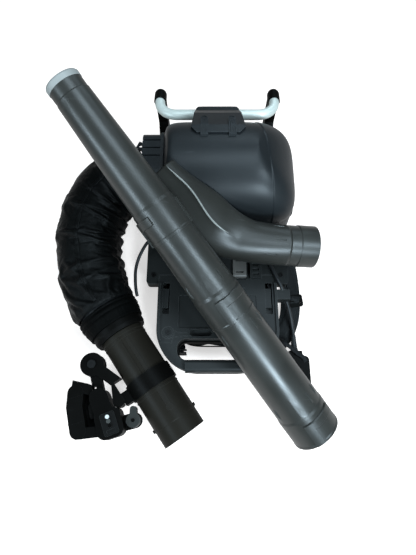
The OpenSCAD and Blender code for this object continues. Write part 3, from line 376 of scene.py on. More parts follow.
def metal(name, colour, roughness, stretch, metallic=1.0):
    """Drawn or cast metal: fine lines or grain in its colour and gloss."""
    made, tree, shader = new_material(name)
    where = put(tree, "TexCoord").outputs["Object"]
    lines = put(tree, "Mapping", {"Vector": where, "Scale": stretch}).outputs[0]
    fine = put(tree, "TexNoise", {"Vector": lines, "Scale": 60.0, "Detail": 3.0}).outputs["Fac"]
    tone = span(tree, fine, 0.3, 0.7, 0.9, 1.05)
    tree.links.new(mix(tree, "MULTIPLY", 1.0, (*colour, 1),
                       put(tree, "CombineColor", {i: tone for i in (0, 1, 2)}).outputs[0]), shader.inputs["Base Color"])
    tree.links.new(span(tree, fine, 0.3, 0.7, roughness - 0.08, roughness + 0.1), shader.inputs["Roughness"])
    bump = put(tree, "Bump", {"Strength": 0.15, "Distance": 0.0003, "Height": fine})
    tree.links.new(bump.outputs[0], shader.inputs["Normal"])
    shader.inputs["Metallic"].default_value = metallic
    return made


FINISH["steel"] = metal("zinc_steel", (0.42, 0.43, 0.44), 0.34, (8, 8, 8))
FINISH["cast_metal"] = metal("cast_alloy", (0.36, 0.37, 0.38), 0.5, (14, 14, 14))
FINISH["aluminium"] = metal("satin_anodised_aluminium", (0.78, 0.82, 0.76), 0.46, (1, 12, 12), 0.3)

dark_zinc = metal("black_zinc", (0.028, 0.028, 0.028), 0.46, (8, 8, 8))
shell_grey = plastic("shell_moulding", (0.0125, 0.0145, 0.016), (0.07, 0.078, 0.085),
                     0.4, 1500.0, 0.16, 0.3, 0.01, 0.26)
dock_grey = plastic("dock_moulding", (0.0125, 0.0135, 0.0132), (0.08, 0.082, 0.08),
                    0.45, 1500.0, 0.18, 0.6, 0.01, 0.22)
OWN = {"dock_plate": dock_grey, "cable_keeper": dock_grey, "terminal_block": dock_grey}
OWN.update({node: shell_grey for node in
            ("housing_front", "housing_rear", "outlet_duct", "bar_clamp", "bar_saddle")})
OWN["keypad_panel"] = plastic("keypad_face", (0.005, 0.005, 0.0048), (0.05, 0.05, 0.048),
                              0.3, 1500.0, 0.1, 0.4, 0.01, 0.3)
OWN["mode_button"] = plastic("button_face", (0.05, 0.05, 0.046), (0.2, 0.2, 0.19), 0.4, 1500.0, 0.1, 0.4, 0.01)
OWN["cruise_lever"] = plastic("lever_moulding", (0.017, 0.0175, 0.0155), (0.09, 0.09, 0.085),
                              0.38, 1500.0, 0.15, 0.6, 0.02, 0.4)
OWN.update({node: dark_zinc for node in ("dock_screws", "clamp_screws", "tilt_bolt")})
for row in frame["record"]["subparts"]:
    cover(NODES[row["node"]], OWN.get(row["node"], FINISH[row["material_slot"]]))

# ---------------------------------------------------------------- fan housing
# The rear shell is one injection moulding, 3 mm thick: a barrel with a square left end, a bevelled
# facet and a domed cap on the right. It is screwed to the front shell along a seam at mid height.

BARREL_R, BARREL_Z, FAN_X, FAN_Y, SEAM_Z = 121, 160, 27, 437, 150
LEFT_END, RIGHT_END, LEFT_EDGE, CAP_FALL, CAP_POWER = -150, 150, 22, 0.62, 2.2


def crest_share(dx):
    """How far up the barrel its skin reaches at a station."""
    if dx > 0:
        return min(1, max(0, (1 - dx / RIGHT_END) / CAP_FALL)) ** (1 / CAP_POWER)
    flat = min(1, (dx - LEFT_END) / LEFT_EDGE)
    return math.sqrt(max(0, 1 - (1 - flat) ** 2))


def barrel_point(dx, turn):
    """A point of the barrel's skin: dx along its axis from the fan, turn from the crest, -90 to 90 degrees."""
    k = crest_share(dx) * math.cos(turn)
    if dx > 0:
        reach = RIGHT_END * (1 - CAP_FALL * k ** CAP_POWER)
    else:
        reach = -LEFT_END - LEFT_EDGE * (1 - math.sqrt(1 - k * k))
    power = 9 if dx < 0 else (3.9 if turn > 0 else 5)
    width = BARREL_R * math.sqrt(max(0, 1 - k * k)) * max(0, 1 - min(1, abs(dx) / reach) ** power) ** (1 / power)
    return Vector((FAN_X + dx, FAN_Y + math.copysign(width, turn), BARREL_Z + BARREL_R * k))


def facet(dx, y):
    """Height of the raised facet between the barrel and the cap: a sharp step up, then a long fall."""
    start = 66 + 0.12 * (FAN_Y + 100 - y) - 14 * max(0, (y - FAN_Y) / 121) ** 2
    u = (dx - start) / 42
    if u < 0 or u > 1:
        return 0
    return 1.7 * min(1, u / 0.045) * (1 - u) ** 1.3


stations = [LEFT_END * math.cos(math.radians(a)) ** (2 / 9) for a in
            (1, 4, 8, 13, 19, 26, 34, 42, 50, 58, 65, 71, 76, 80, 83.5, 86.5, 89)]
stations += [x * 2.0 for x in range(-40, 28)]
stations += [56 + x * 0.8 for x in range(0, 62)] + [105.6 + x * 1.6 for x in range(1, 18)]
stations += [134 + 16 * math.sin(math.radians(a)) for a in range(6, 90, 6)] + [149.97]
stations = sorted(set(round(x, 3) for x in stations))
turns = [math.radians(-90 + 180 * i / 120) for i in range(121)]
shell_grid = []
for dx in stations:
    row = [barrel_point(dx, t) for t in turns]
    row = [Vector((row[0].x, row[0].y, SEAM_Z))] + row + [Vector((row[-1].x, row[-1].y, SEAM_Z))]
    shell_grid.append(row)
raised = []
for i, row in enumerate(shell_grid):
    raised_row = []
    for k, point in enumerate(row):
        before, after = shell_grid[max(i - 1, 0)][k], shell_grid[min(i + 1, len(shell_grid) - 1)][k]
        normal = (after - before).cross(row[max(k - 1, 0)] - row[min(k + 1, len(row) - 1)])
        lift = facet(stations[i], point.y) if normal.length > 1e-6 and 0 < k < len(row) - 1 else 0
        raised_row.append(at(*(point + normal.normalized() * abs(lift) * (1 if normal.z >= 0 else -1)))
                          if lift else at(*point))
    raised.append(raised_row)
shell = woven_skin("rear_shell", raised, round_section=False)
first_face = next(face for face in shell.data.polygons if face.area > 1e-7)
if first_face.normal.dot(first_face.center - at(FAN_X, FAN_Y, SEAM_Z)) < 0:
    shell.data.flip_normals()


def finish_mesh(piece, *modifiers):
    """Adds modifiers and applies them: each is its kind and its values."""
    bpy.ops.object.select_all(action="DESELECT")
    bpy.context.view_layer.objects.active = piece
    piece.select_set(True)
    for kind, values in modifiers:
        added = piece.modifiers.new(kind.lower(), kind)
        for key, value in values.items():
            setattr(added, key, value)
        bpy.ops.object.modifier_apply(modifier=added.name)
    piece.select_set(False)


finish_mesh(shell, ("WELD", {"merge_threshold": 0.00005}),
            ("SOLIDIFY", {"thickness": 0.003, "offset": -1, "use_even_offset": False}))
shell.data.materials.append(shell_grey)
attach(shell, "machine")
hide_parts("housing_rear")

# ---------------------------------------------------------------- flat nozzle
# The spare flat nozzle is a blow-moulded tube whose round end turns into a flat slab with one sharp
# spine. It rides on the barrel beside the blow tube. Short ribs guide the collar on.

FLAT_LINE = [Vector(p) for p in
             ((-131, 364, 271.3), (-44, 268, 228.8), (8, 252, 199.8), (146, 253, 177.8))]
NOZZLE_R, SLAB_HALF_WIDE, SLAB_HALF_HIGH, SLAB_LEAN, NOZZLE_WALL = 43.8, 52, 13, -20, 2.6
NOZZLE_SIDES, NOZZLE_ROWS, INSIDE_ROWS = 160, 90, 24


def flat_point(t):
    """A point of the nozzle's middle line."""
    a, b, c, d = FLAT_LINE
    return a * (1 - t) ** 3 + b * 3 * t * (1 - t) ** 2 + c * 3 * t * t * (1 - t) + d * t ** 3


def flat_frame(t):
    """Middle, side and up of the nozzle's section."""
    ahead = (flat_point(min(1, t + 0.005)) - flat_point(max(0, t - 0.005))).normalized()
    side = ahead.cross(Vector((0, 0, 1))).normalized()
    return flat_point(t), side, side.cross(ahead)


RIDGE_RISE, BEAD_RISE, BEAD_WIDE = 9.5, 1.2, 4.5


def far_share(t):
    """Reach of the nozzle's far side, as a share of its half width."""
    return 1 + 0.42 * math.sin(math.pi * min(1, t / 0.8)) ** 1.3


def spine_share(t):
    """Where the spine runs, as a share of the half width: by the far side at the mouth, then inwards."""
    back = min(1, max(0, (t - 0.12) / 0.56))
    return -(0.62 + 0.16 * math.sin(math.pi * min(1, t / 0.5))) * (1 - back * back * (3 - 2 * back))


def flat_corner(t, turn, inset, rise=0.0):
    """A point of the nozzle's skin in metres: turn round the section, inset from the outside."""
    middle, side, up = flat_frame(t)
    k = (1 - t) ** 1.3
    half_w = NOZZLE_R + (SLAB_HALF_WIDE - NOZZLE_R) * k - inset
    half_h = NOZZLE_R + (SLAB_HALF_HIGH - NOZZLE_R) * (1 - t) ** 0.8 - inset
    c, s_ = math.cos(turn), math.sin(turn)
    sharp = 2 + 2.2 * (1 - t) ** 2
    fade = min(1, max(0, (0.7 - t) / 0.22))
    fade *= fade * (3 - 2 * fade)
    far_side = half_w * far_share(t)
    x = (far_side if c < 0 else half_w) * c
    y = half_h * math.copysign(max(0, 1 - abs(c) ** sharp) ** (1 / sharp), s_)
    spine = half_w * spine_share(t)
    if s_ > 0:
        off = x - spine
        roof = RIDGE_RISE * max(0, 1 - abs(off) / half_w) ** 1.5
        if off < 0:
            crest = (half_h + RIDGE_RISE) * max(0, 1 - (-off / (far_side + spine)) ** 1.5) ** 0.8
        else:
            crest = (half_h if c < 0 else y) + roof * min(1, 2.5 * s_)
        bead = BEAD_RISE * math.exp(-(off / BEAD_WIDE) ** 2) * min(1, 2.5 * s_) if inset == 0 else 0
        y += fade * (crest - y) + fade * bead
    spread, bearing = math.hypot(x, y) + rise, math.atan2(y, x) + math.radians(SLAB_LEAN)
    return at(*(middle + spread * (math.cos(bearing) * side + math.sin(bearing) * up)))


nozzle_grey = plastic("nozzle_moulding", (0.0235, 0.023, 0.02), (0.09, 0.09, 0.085),
                      0.34, 1500.0, 0.16, 0.3, 0.015, 0.36)
around = [2 * math.pi * (k + 0.5) / NOZZLE_SIDES for k in range(NOZZLE_SIDES)]
outer = [[flat_corner(i / NOZZLE_ROWS, a, 0) for a in around] for i in range(NOZZLE_ROWS + 1)]
inner = [[flat_corner(i / INSIDE_ROWS, a, NOZZLE_WALL) for a in around] for i in range(INSIDE_ROWS + 1)]
slab = woven_skin("flat_nozzle_body", outer + inner[::-1], ring=True)
slab.data.materials.append(nozzle_grey)
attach(slab, "spare_nozzle")
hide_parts("flat_nozzle")

# A thin bead on the spine, the mould's parting line; its pale colour is a painted highlight, the bright line of light
# the sharp spine catches
worn_spine = plastic("worn_spine", (0.27, 0.27, 0.25), (0.36, 0.36, 0.34), 0.3, 1500.0, 0.1, 0.2, 0.01)
spine_stations = [0.015 + 0.585 * i / 60 for i in range(61)]
bead_line = [flat_corner(t, math.acos(spine_share(t) / far_share(t)), 0, 0.2) for t in spine_stations]
bead = lead("nozzle_spine_bead", bead_line,
            lambda share: 0.0001 + 0.0018 * min(1, 9 * share, 5 * (1 - share)), 10)
bead.data.materials.append(worn_spine)
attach(bead, "spare_nozzle")

# Three short guide ribs near the collar, thick at the collar's end and running out to nothing
for number, start, end, turn in ((1, 0.905, 0.968, 148), (2, 0.905, 0.968, 99), (3, 0.855, 0.925, 57)):
    rib_line = [flat_corner(start + (end - start) * i / 12, math.radians(turn), 0, 0.3) for i in range(13)]
    rib = lead(f"nozzle_rib_{number}", rib_line, lambda share: 0.0003 + 0.0014 * share ** 0.7, 12)
    rib.data.materials.append(nozzle_grey)
    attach(rib, "spare_nozzle")

# ---------------------------------------------------------------- hose, sleeve and cuff
# A ribbed rubber hose bends from the outlet duct to the swivel pipe, inside a loose nylon sleeve.
# The sleeve is a sewn tube, longer than the hose, gathered on an elastic hem at both ends.

HOSE_POINTS = [at(-185, 455, 135), at(-307, 455, 134), at(-354.57, 280.27, 81.04), at(-248.92, 127.38, 73.6)]


def hose_point(t):
    """A point of the hose's middle line."""
    a, b, c, d = HOSE_POINTS
    return a * (1 - t) ** 3 + b * 3 * t * (1 - t) ** 2 + c * 3 * t * t * (1 - t) + d * t ** 3


def hose_frames(first, last, count):
    """Frames along part of the hose's middle line."""
    return path_frames([hose_point(first + (last - first) * i / count) for i in range(count + 1)])


RIB_STEPS, STEPS_PER_RIB, PLAIN_STEPS = 360, 10, 14
HOSE_END_R, HOSE_VALLEY_R, RIB_HEIGHT = 0.061, 0.0578, 0.0036
ribbed = []
for i, here in enumerate(hose_frames(0, 1, RIB_STEPS)):
    wave = 0.5 + 0.5 * math.cos(2 * math.pi * i / STEPS_PER_RIB)
    plain = i < PLAIN_STEPS or i > RIB_STEPS - PLAIN_STEPS
    ribbed.append(ring_of(here, HOSE_END_R if plain else HOSE_VALLEY_R + RIB_HEIGHT * wave ** 0.6, 40))
hose = woven_skin("hose_ribs", ribbed, ends=False)
hose.data.materials.append(rubber)
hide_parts("hose_bellows")

# Woven cloth: two crossed threads from the piece's own UV, worn paler on its folds
woven, given, out = skin_group("woven_cloth", (
    ("Colour", "Color", (0.01, 0.01, 0.01, 1)), ("Rubbed", "Color", (0.05, 0.05, 0.05, 1)),
    ("Base roughness", "Float", 0.7), ("Threads", "Float", 1400.0), ("Depth", "Float", 0.3)))
uv = put(woven, "SeparateXYZ", {0: put(woven, "TexCoord").outputs["UV"]}).outputs
threads = []
for axis in (0, 1):
    turns = put(woven, "Math", {0: uv[axis], 1: given["Threads"]}, operation="MULTIPLY").outputs[0]
    threads.append(put(woven, "Math", {0: turns}, operation="SINE").outputs[0])
weave = put(woven, "Math", {0: threads[0], 1: threads[1]}, operation="MULTIPLY").outputs[0]
where = put(woven, "TexCoord").outputs["Object"]
cloud = put(woven, "TexNoise", {"Vector": where, "Scale": 14.0, "Detail": 5.0}).outputs["Fac"]
crease = put(woven, "TexNoise", {"Vector": where, "Scale": 60.0, "Detail": 6.0, "Distortion": 0.6}).outputs["Fac"]
dull = mix(woven, "MULTIPLY", 1.0, given["Colour"],
           put(woven, "CombineColor", {i: span(woven, cloud, 0.3, 0.7, 0.75, 1.25) for i in (0, 1, 2)}).outputs[0])
lint = put(woven, "Math", {0: span(woven, crease, 0.58, 0.75, 0, 0.5), 1: span(woven, cloud, 0.45, 0.6, 0, 1)},
           operation="MULTIPLY").outputs[0]
woven.links.new(mix(woven, "MIX", lint, dull, given["Rubbed"]), out["Colour"])
woven.links.new(put(woven, "Math", {0: given["Base roughness"], 1: span(woven, cloud, 0.3, 0.7, -0.08, 0.08)},
                    operation="ADD").outputs[0], out["Roughness"])
tight = put(woven, "Bump", {"Strength": given["Depth"], "Distance": 0.0003, "Height": weave}).outputs[0]
puckers = put(woven, "Bump", {"Strength": 0.35, "Distance": 0.002, "Height": crease, "Normal": tight}).outputs[0]
woven.links.new(puckers, out["Normal"])


def cloth(name, colour, rubbed, roughness, threads=1400.0, depth=0.3, sheen=0.2, gloss=0.5):
    """A woven finish of one colour."""
    made, tree, shader = new_material(name)
    skin = put(tree, "Group", node_tree=woven)
    for label, value in (("Colour", (*colour, 1)), ("Rubbed", (*rubbed, 1)), ("Base roughness", roughness),
                         ("Threads", threads), ("Depth", depth)):
        skin.inputs[label].default_value = value
    for label, socket in (("Colour", "Base Color"), ("Roughness", "Roughness"), ("Normal", "Normal")):
        tree.links.new(skin.outputs[label], shader.inputs[socket])
    shader.inputs["Specular IOR Level"].default_value = gloss
    shader.inputs["Sheen Weight"].default_value = sheen
    shader.inputs["Sheen Roughness"].default_value = 0.4
    return made


nylon = cloth("sleeve_nylon", (0.0022, 0.0024, 0.0023), (0.006, 0.0066, 0.0064), 0.4, 5200.0, 0.25, 0.0, 0.08)
SLEEVE_RINGS, SLEEVE_SIDES, SEAM_COLUMN, DRAPE_STEPS = 150, 96, 28, 26
SLEEVE_LEAST_R, SLEEVE_MOST_R = 0.0665, 0.0865
# Each fold: where it starts on the inner side, how it leans, how far round it reaches, how high it stands
SLEEVE_FOLDS = [(0.30, -0.06, 1.6, 0.006), (0.345, -0.02, 2.0, 0.005), (0.375, 0.012, 1.3, -0.005),
                (0.40, 0.03, 1.5, 0.006), (0.52, -0.05, 1.7, 0.006), (0.555, -0.015, 2.1, -0.005),
                (0.585, 0.015, 1.6, 0.006), (0.62, 0.05, 1.4, -0.004), (0.70, -0.05, 1.9, 0.006),
                (0.735, -0.01, 1.5, -0.005), (0.765, 0.02, 2.0, 0.006), (0.82, 0.03, 1.5, 0.005),
                (0.90, -0.03, 1.6, 0.004)]


def sleeve_radius(t, a):
    """Start of the sleeve: taut outside the bend, with folds that fan out from its inner side."""
    from_inside = math.pi - abs((a + math.pi) % (2 * math.pi) - math.pi)
    inner = (0.5 - 0.5 * math.cos(a)) ** 1.5
    swell = noise.noise(Vector((t * 7, math.cos(a) * 1.4, math.sin(a) * 1.4)))
    ripple = noise.noise(Vector((t * 21, math.cos(a) * 3, math.sin(a) * 3 + 9)))
    middle = math.sin(math.pi * t)
    hem = min(1, t / 0.035) ** 0.5 * min(1, (1 - t) / 0.03) ** 0.5
    pleat = 0.0009 * math.sin(34 * a) * (1 - hem)
    folds = 0
    for start, lean, reach, height in SLEEVE_FOLDS:
        wide = 0.010 + 0.009 * from_inside
        folds += height * math.exp(-((t - start - lean * from_inside) / wide) ** 2 - (from_inside / reach) ** 2)
    folds *= 0.45 + 0.55 * min(1, from_inside / 0.7)
    return (0.0682 + 0.0038 * hem + 0.004 * middle ** 0.6 + 0.0022 * swell * middle ** 0.5
            + (0.0035 * swell + 0.002 * ripple) * inner * middle ** 0.5 + folds * hem + pleat)


sleeve_line = hose_frames(0.012, 0.983, SLEEVE_RINGS)
sleeve = woven_skin("sleeve_cloth", [ring_of(here, lambda a: sleeve_radius(i / SLEEVE_RINGS, a), SLEEVE_SIDES)
                                     for i, here in enumerate(sleeve_line)], ends=False)
filler = woven_skin("filler", [ring_of(here, 0.067, 32) for here in hose_frames(0, 1, 60)], ends=False)
bpy.ops.mesh.primitive_plane_add(size=2, location=(0, 0, 0.0006))
ground = bpy.context.object
for blocker in (filler, ground):
    blocker.modifiers.new("blocker", "COLLISION")
    blocker.collision.thickness_outer = 0.0015
    blocker.collision.thickness_inner = 0.01
    blocker.collision.cloth_friction = 8
pins = sleeve.vertex_groups.new(name="hems")
first_hem = list(range(SLEEVE_SIDES * 3))
last_hem = list(range(SLEEVE_SIDES * (SLEEVE_RINGS - 2), SLEEVE_SIDES * (SLEEVE_RINGS + 1)))
pins.add(first_hem + last_hem, 1, "REPLACE")
drape = sleeve.modifiers.new("drape", "CLOTH")
rules = drape.settings
rules.quality = 6
rules.mass = 0.25
rules.tension_stiffness = rules.compression_stiffness = 25
rules.shear_stiffness = 8
rules.bending_stiffness = 3
rules.tension_damping = rules.compression_damping = rules.shear_damping = 8
rules.bending_damping = 0.6
rules.air_damping = 3
rules.vertex_group_mass = "hems"
rules.shrink_min = -0.07
rules.effector_weights.gravity = 0.12
drape.collision_settings.collision_quality = 3
drape.collision_settings.distance_min = 0.0012
for step in range(1, DRAPE_STEPS + 1):
    scene.frame_set(step)
settled = bpy.data.meshes.new_from_object(sleeve.evaluated_get(bpy.context.evaluated_depsgraph_get()))
sleeve.modifiers.clear()
sleeve.data = settled
scene.frame_set(1)
for blocker in (filler, ground):
    bpy.data.objects.remove(blocker)

# No fold may reach past the sleeve's room or into the hose
for i, (point, ahead, _, _) in enumerate(sleeve_line):
    for corner in sleeve.data.vertices[i * SLEEVE_SIDES:(i + 1) * SLEEVE_SIDES]:
        away = corner.co - point
        out_from_line = away - away.dot(ahead) * ahead
        reach = max(SLEEVE_LEAST_R, min(SLEEVE_MOST_R, out_from_line.length))
        corner.co = point + away.dot(ahead) * ahead + out_from_line.normalized() * reach
        corner.co.z = max(corner.co.z, 0.0012)
sleeve.data.materials.clear()
sleeve.data.materials.append(nylon)
for face in sleeve.data.polygons:
    face.use_smooth = True
seam_points = [sleeve.data.vertices[i * SLEEVE_SIDES + SEAM_COLUMN].co.copy() for i in range(3, SLEEVE_RINGS - 2)]
seam_out = [(c - here[0]).normalized() for c, here in zip(seam_points, sleeve_line[3:])]

finish_mesh(sleeve, ("SUBSURF", {"levels": 1, "render_levels": 1}))
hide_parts("hose_sleeve")

# The sewn seam of the sleeve, a flat felled strip
seam_line = [c + 0.0004 * out for c, out in zip(seam_points, seam_out)]
strip_rows = []
for (point, ahead, _, _), out in zip(path_frames(seam_line), seam_out):
    side = ahead.cross(out).normalized()
    strip_rows.append([point + side * w + out * h for w, h in
                       ((-0.0045, 0.0), (-0.004, 0.0011), (-0.001, 0.0013), (0, 0.0008),
                        (0.001, 0.0013), (0.004, 0.0011), (0.0045, 0.0), (0, -0.0004))])
seam = woven_skin("sleeve_seam", strip_rows)
seam.data.materials.append(nylon)
for piece in (hose, sleeve, seam):
    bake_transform(piece)

# ---------------------------------------------------------------- elastic cuff
# A band of elastic in a nylon casing holds the sleeve's end on the collar. Its edge is turned and
# sewn, and the slack cloth stands in small even gathers.

CUFF_AXIS_START, CUFF_AXIS = at(-226.2, 94.5, 72), Vector((0.568, -0.822, -0.04)).normalized()
cuff_side = CUFF_AXIS.cross(Vector((0, 0, 1))).normalized()
cuff_up = cuff_side.cross(CUFF_AXIS)
CUFF_SIDES = 216
cuff_profile = [(-45.4, 62.8), (-45.2, 66.5), (-44, 69.6), (-42, 70.6), (-40.2, 70.2), (-38.8, 69.0),
                (-37.4, 68.7), (-36, 69.3), (-33, 70.4), (-30, 70.3), (-27.4, 69.2), (-26.2, 67.8),
                (-25.2, 67.6), (-24, 68.3), (-20, 68.4), (-16, 67.2), (-12, 66.0), (-8, 65.0),
                (-5, 64.6), (-2.6, 64.4), (-1.2, 63.6), (-0.9, 62.2)]
cuff_rows = []
for z, r in cuff_profile:
    tucked = 0.25 if z in (-38.8, -37.4, -26.2, -25.2) else 1.0
    row = []
    for k in range(CUFF_SIDES):
        turn = 2 * math.pi * k / CUFF_SIDES
        gather = 0.16 * math.sin(54 * turn + 1.3 * math.sin(5 * turn)) + 0.1 * math.sin(23 * turn + 2)
        size = (r + gather * tucked * min(1, max(0, r - 62.6) / 3)) / 1000
        row.append(CUFF_AXIS_START + CUFF_AXIS * z / 1000
                   + size * (math.cos(turn) * cuff_side + math.sin(turn) * cuff_up))
    cuff_rows.append(row)
inside_rows = [[CUFF_AXIS_START + CUFF_AXIS * z / 1000 + r * (math.cos(t) * cuff_side + math.sin(t) * cuff_up)
                for t in (2 * math.pi * k / CUFF_SIDES for k in range(CUFF_SIDES))]
               for z, r in ((-1.0, 0.0608), (-20, 0.0608), (-36, 0.0608), (-36.2, 0.0627))]
cuff = woven_skin("elastic_cuff", cuff_rows + inside_rows, ring=True)
cuff.data.materials.append(cloth("cuff_nylon", (0.0014, 0.0015, 0.0014), (0.004, 0.0042, 0.004),
                                 0.5, 5200.0, 0.25, 0.0, 0.03))
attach(cuff, "hose_end")
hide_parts("hose_cuff")

# ---------------------------------------------------------------- back pads
# Two foam cushions in mesh cloth take the frame's weight on the wearer's back. Each is a sewn cover
# over cut foam, with a welted edge and two stitched channels across.

mesh_cloth = cloth("pad_mesh_cloth", (0.006, 0.0068, 0.0072), (0.025, 0.028, 0.03), 0.72, 2600.0, 0.8, 0.15, 0.2)
webbing = cloth("strap_webbing", (0.0045, 0.005, 0.0052), (0.03, 0.032, 0.033), 0.55, 3600.0, 0.7, 0.08, 0.2)
PAD_WIDE, PAD_LONG, PAD_LOW, PAD_HIGH, PAD_CORNER, PAD_SWELL = 178, 130, 0.3, 35.6, 4.5, 0.006


def rounded_ring(w, l, power, count):
    """Points of a squarish ring, evenly turned."""
    found = []
    for k in range(count):
        a = 2 * math.pi * k / count
        c, q = math.cos(a), math.sin(a)
        found.append((w / 2 * math.copysign(abs(c) ** (2 / power), c),
                      l / 2 * math.copysign(abs(q) ** (2 / power), q)))
    return found


def foam_pad(name, x, y, w, l, low, high, channels):
    """A cushion blown up by a cloth simulation, held to its own room, then sewn down along its channels."""
    rows = []
    for share, shrink in ((0.06, 0.90), (0.2, 0.96), (0.4, 0.985), (0.6, 0.985), (0.8, 0.96), (0.94, 0.90)):
        z = low + (high - low) * share
        rows.append([at(x + px * shrink, y + py * shrink, z) for px, py in rounded_ring(w, l, PAD_CORNER, 72)])
    pad = woven_skin(name, rows)
    finish_mesh(pad, ("REMESH", {"mode": "VOXEL", "voxel_size": 0.0045}))
    rest = np.array([v.co[:] for v in pad.data.vertices])
    fill = pad.modifiers.new("fill", "CLOTH")
    fill.settings.use_pressure = True
    fill.settings.uniform_pressure_force = 4
    fill.settings.effector_weights.gravity = 0
    for step in range(1, 17):
        scene.frame_set(step)
    blown = bpy.data.meshes.new_from_object(pad.evaluated_get(bpy.context.evaluated_depsgraph_get()))
    pad.modifiers.clear()
    pad.data = blown
    scene.frame_set(1)
    for v, start in zip(pad.data.vertices, rest):
        moved = v.co - Vector(start)
        if moved.length > PAD_SWELL:
            v.co = Vector(start) + moved.normalized() * PAD_SWELL
    centre, room = at(x, y, (low + high) / 2), (Vector((w, l, high - low)) / 2000)
    for v in pad.data.vertices:
        offset = v.co - centre
        pinch = 1.0
        for channel in channels:
            near = abs(offset.y * 1000 - channel)
            pinch *= 1 - 0.16 * math.exp(-(near / 3.2) ** 2)
        edge = math.hypot(offset.x / room.x, offset.y / room.y)
        offset.z *= pinch
        for i in range(3):
            offset[i] = max(-room[i] + 0.0004, min(room[i] - 0.0004, offset[i]))
        v.co = centre + offset
    pad.data.materials.clear()
    pad.data.materials.append(mesh_cloth)
    for face in pad.data.polygons:
        face.use_smooth = True
    finish_mesh(pad, ("SMOOTH", {"factor": 0.5, "iterations": 4}), ("SUBSURF", {"levels": 1, "render_levels": 1}))
    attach(pad, "machine")
    return pad


pads = []
for name, y in (("back_pad_upper", 128), ("back_pad_lower", 268)):
    pads.append(foam_pad(name, 0, y, PAD_WIDE, PAD_LONG, PAD_LOW, PAD_HIGH, (-24, 24)))
    welt_ring = [at(px * 0.985, y + py * 0.985, 18)
                 for px, py in rounded_ring(PAD_WIDE, PAD_LONG, PAD_CORNER, 120)]
    welt = lead(name + "_welt", welt_ring + welt_ring[:2], 0.0016, 8)
    welt.data.materials.append(webbing)
    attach(welt, "machine")
for pad in pads:
    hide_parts("back_pad")

# ---------------------------------------------------------------- shoulder straps and hip belt
# Curved foam straps in nylon with a bound edge, folded under the machine where it lies. Webbing runs
# down the middle of each through its adjuster, and short tabs tie both ends to the frame.


def padded_band(name, points, half_width, low, high):
    """A flat stuffed band along points of the ground plane, with bound edges and a sewn middle line."""
    line = smooth_path([Vector((x, y, 0)) for x, y in points], 14)
    middle, half = (low + high) / 2, (high - low) / 2
    rows = []
    for i, (point, ahead, side, _) in enumerate(path_frames(line)):
        share = i / (len(line) - 1)
        end = min(1, min(share, 1 - share) * 14)
        w = half_width * (1 - 0.55 * (1 - end) ** 2.2)
        puff = half * (0.55 + 0.45 * end ** 0.5) * (1 + 0.05 * math.sin(share * 47))
        row = []
        for k in range(36):
            a = 2 * math.pi * (k + 0.5) / 36
            c, q = math.cos(a), math.sin(a)
            u = math.copysign(abs(c) ** 0.62, c)
            v = math.copysign(abs(q) ** 0.75, q)
            sew = 1 - 0.22 * math.exp(-((abs(u) - 0.82) / 0.05) ** 2) - 0.10 * math.exp(-(u / 0.05) ** 2)
            z = middle + puff * v * sew
            row.append(at(point.x + side.x * w * u, point.y + side.y * w * u, max(low, min(high, z))))
        rows.append(row)
    band = woven_skin(name, rows)
    band.data.materials.append(mesh_cloth)
    finish_mesh(band, ("SUBSURF", {"levels": 1, "render_levels": 1}))
    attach(band, "machine")
    return band


def flat_webbing(name, line, width, thick=1.6, side=None):
    """Woven tape along a line in machine millimetres; side is the way its width points at the start."""
    rows = []
    path = smooth_path([Vector(p) for p in line], 8)
    across = Vector(side) if side else None
    for point, ahead, wide, up in path_frames(path, across):
        rows.append([at(*(point + wide * u * width / 2 + up * v * thick / 2)) for u, v in
                     ((-1, -0.3), (-0.97, -1), (-0.5, -1), (0, -1), (0.5, -1), (0.97, -1), (1, -0.3),
                      (1, 0.3), (0.97, 1), (0.5, 1), (0, 1), (-0.5, 1), (-0.97, 1), (-1, 0.3))])
    tape = woven_skin(name, rows)
    tape.data.materials.append(webbing)
    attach(tape, "machine")
    return tape


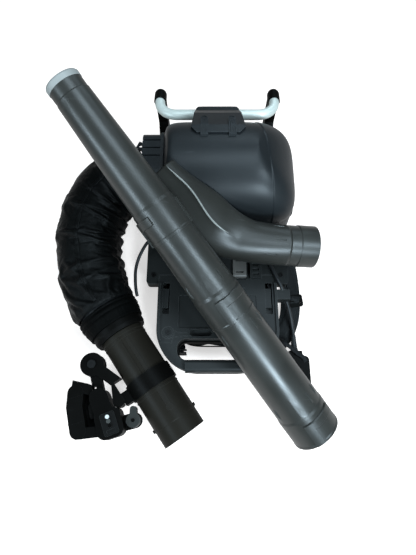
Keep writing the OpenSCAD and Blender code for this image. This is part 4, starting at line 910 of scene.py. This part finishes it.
RIGHT_STRAP = [(88, 50), (144, 76), (176, 134), (182, 220), (166, 310), (108, 368)]
LEFT_STRAP = [(-84, 50), (-106, 84), (-117, 150), (-117, 230), (-115, 310), (-100, 368)]
HIP_BELT = [(-186, 430), (-100, 446), (110, 446), (206, 434)]
strap_right = padded_band("shoulder_strap_right", RIGHT_STRAP, 23.8, 1.6, 14.4)
strap_left = padded_band("shoulder_strap_left", LEFT_STRAP, 17.8, 1.6, 14.4)
belt = padded_band("hip_belt_band", HIP_BELT, 29.6, 0.4, 19.8)
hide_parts("strap_right")
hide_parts("strap_left")
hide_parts("hip_belt")

STRAP_TAPE, TAB_THICK, TAPE_THICK = 24, 1.8, 1.5
for name, x, y, low in (("tab_right_top", 88, 50, 12), ("tab_right_end", 108, 368, 12),
                        ("tab_left_top", -84, 50, 12), ("tab_left_end", -100, 368, 12),
                        ("belt_tab_left", -107, 446, 18), ("belt_tab_right", 107, 446, 18)):
    for step in (-5, 5):
        tab_line = [(x, y + step, low), (x, y + step * 1.3, low + 7),
                    (x, y + step * 0.8, 29), (x, y + step * 0.5, 35.4)]
        flat_webbing(f"{name}_{'a' if step < 0 else 'b'}", tab_line, STRAP_TAPE, TAB_THICK, (1, 0, 0))
flat_webbing("strap_webbing_right", [(150, 86, 15.2), (172, 128, 15.4), (183, 160, 16.2), (187, 172, 19.0),
                                     (190, 180, 21.6), (190.5, 190, 19.4), (188, 206, 16.2), (182, 232, 15.4),
                                     (175, 268, 15.3)], STRAP_TAPE, TAPE_THICK)
flat_webbing("strap_webbing_left", [(-110, 96, 15.2), (-116, 140, 15.4), (-116.5, 166, 17.2), (-116.2, 180, 21.2),
                                    (-116, 194, 17.4), (-116.5, 222, 15.4), (-117, 262, 15.2)], 22, TAPE_THICK)

# A narrower tape hangs over the battery plug
flat_webbing("plug_tape", [(139, 81, 14.8), (145, 76, 36), (156, 66, 46.5), (180, 45.5, 47), (198, 30, 46),
                           (206, 6, 26), (207.4, -22, 4)], 9, 1.4)
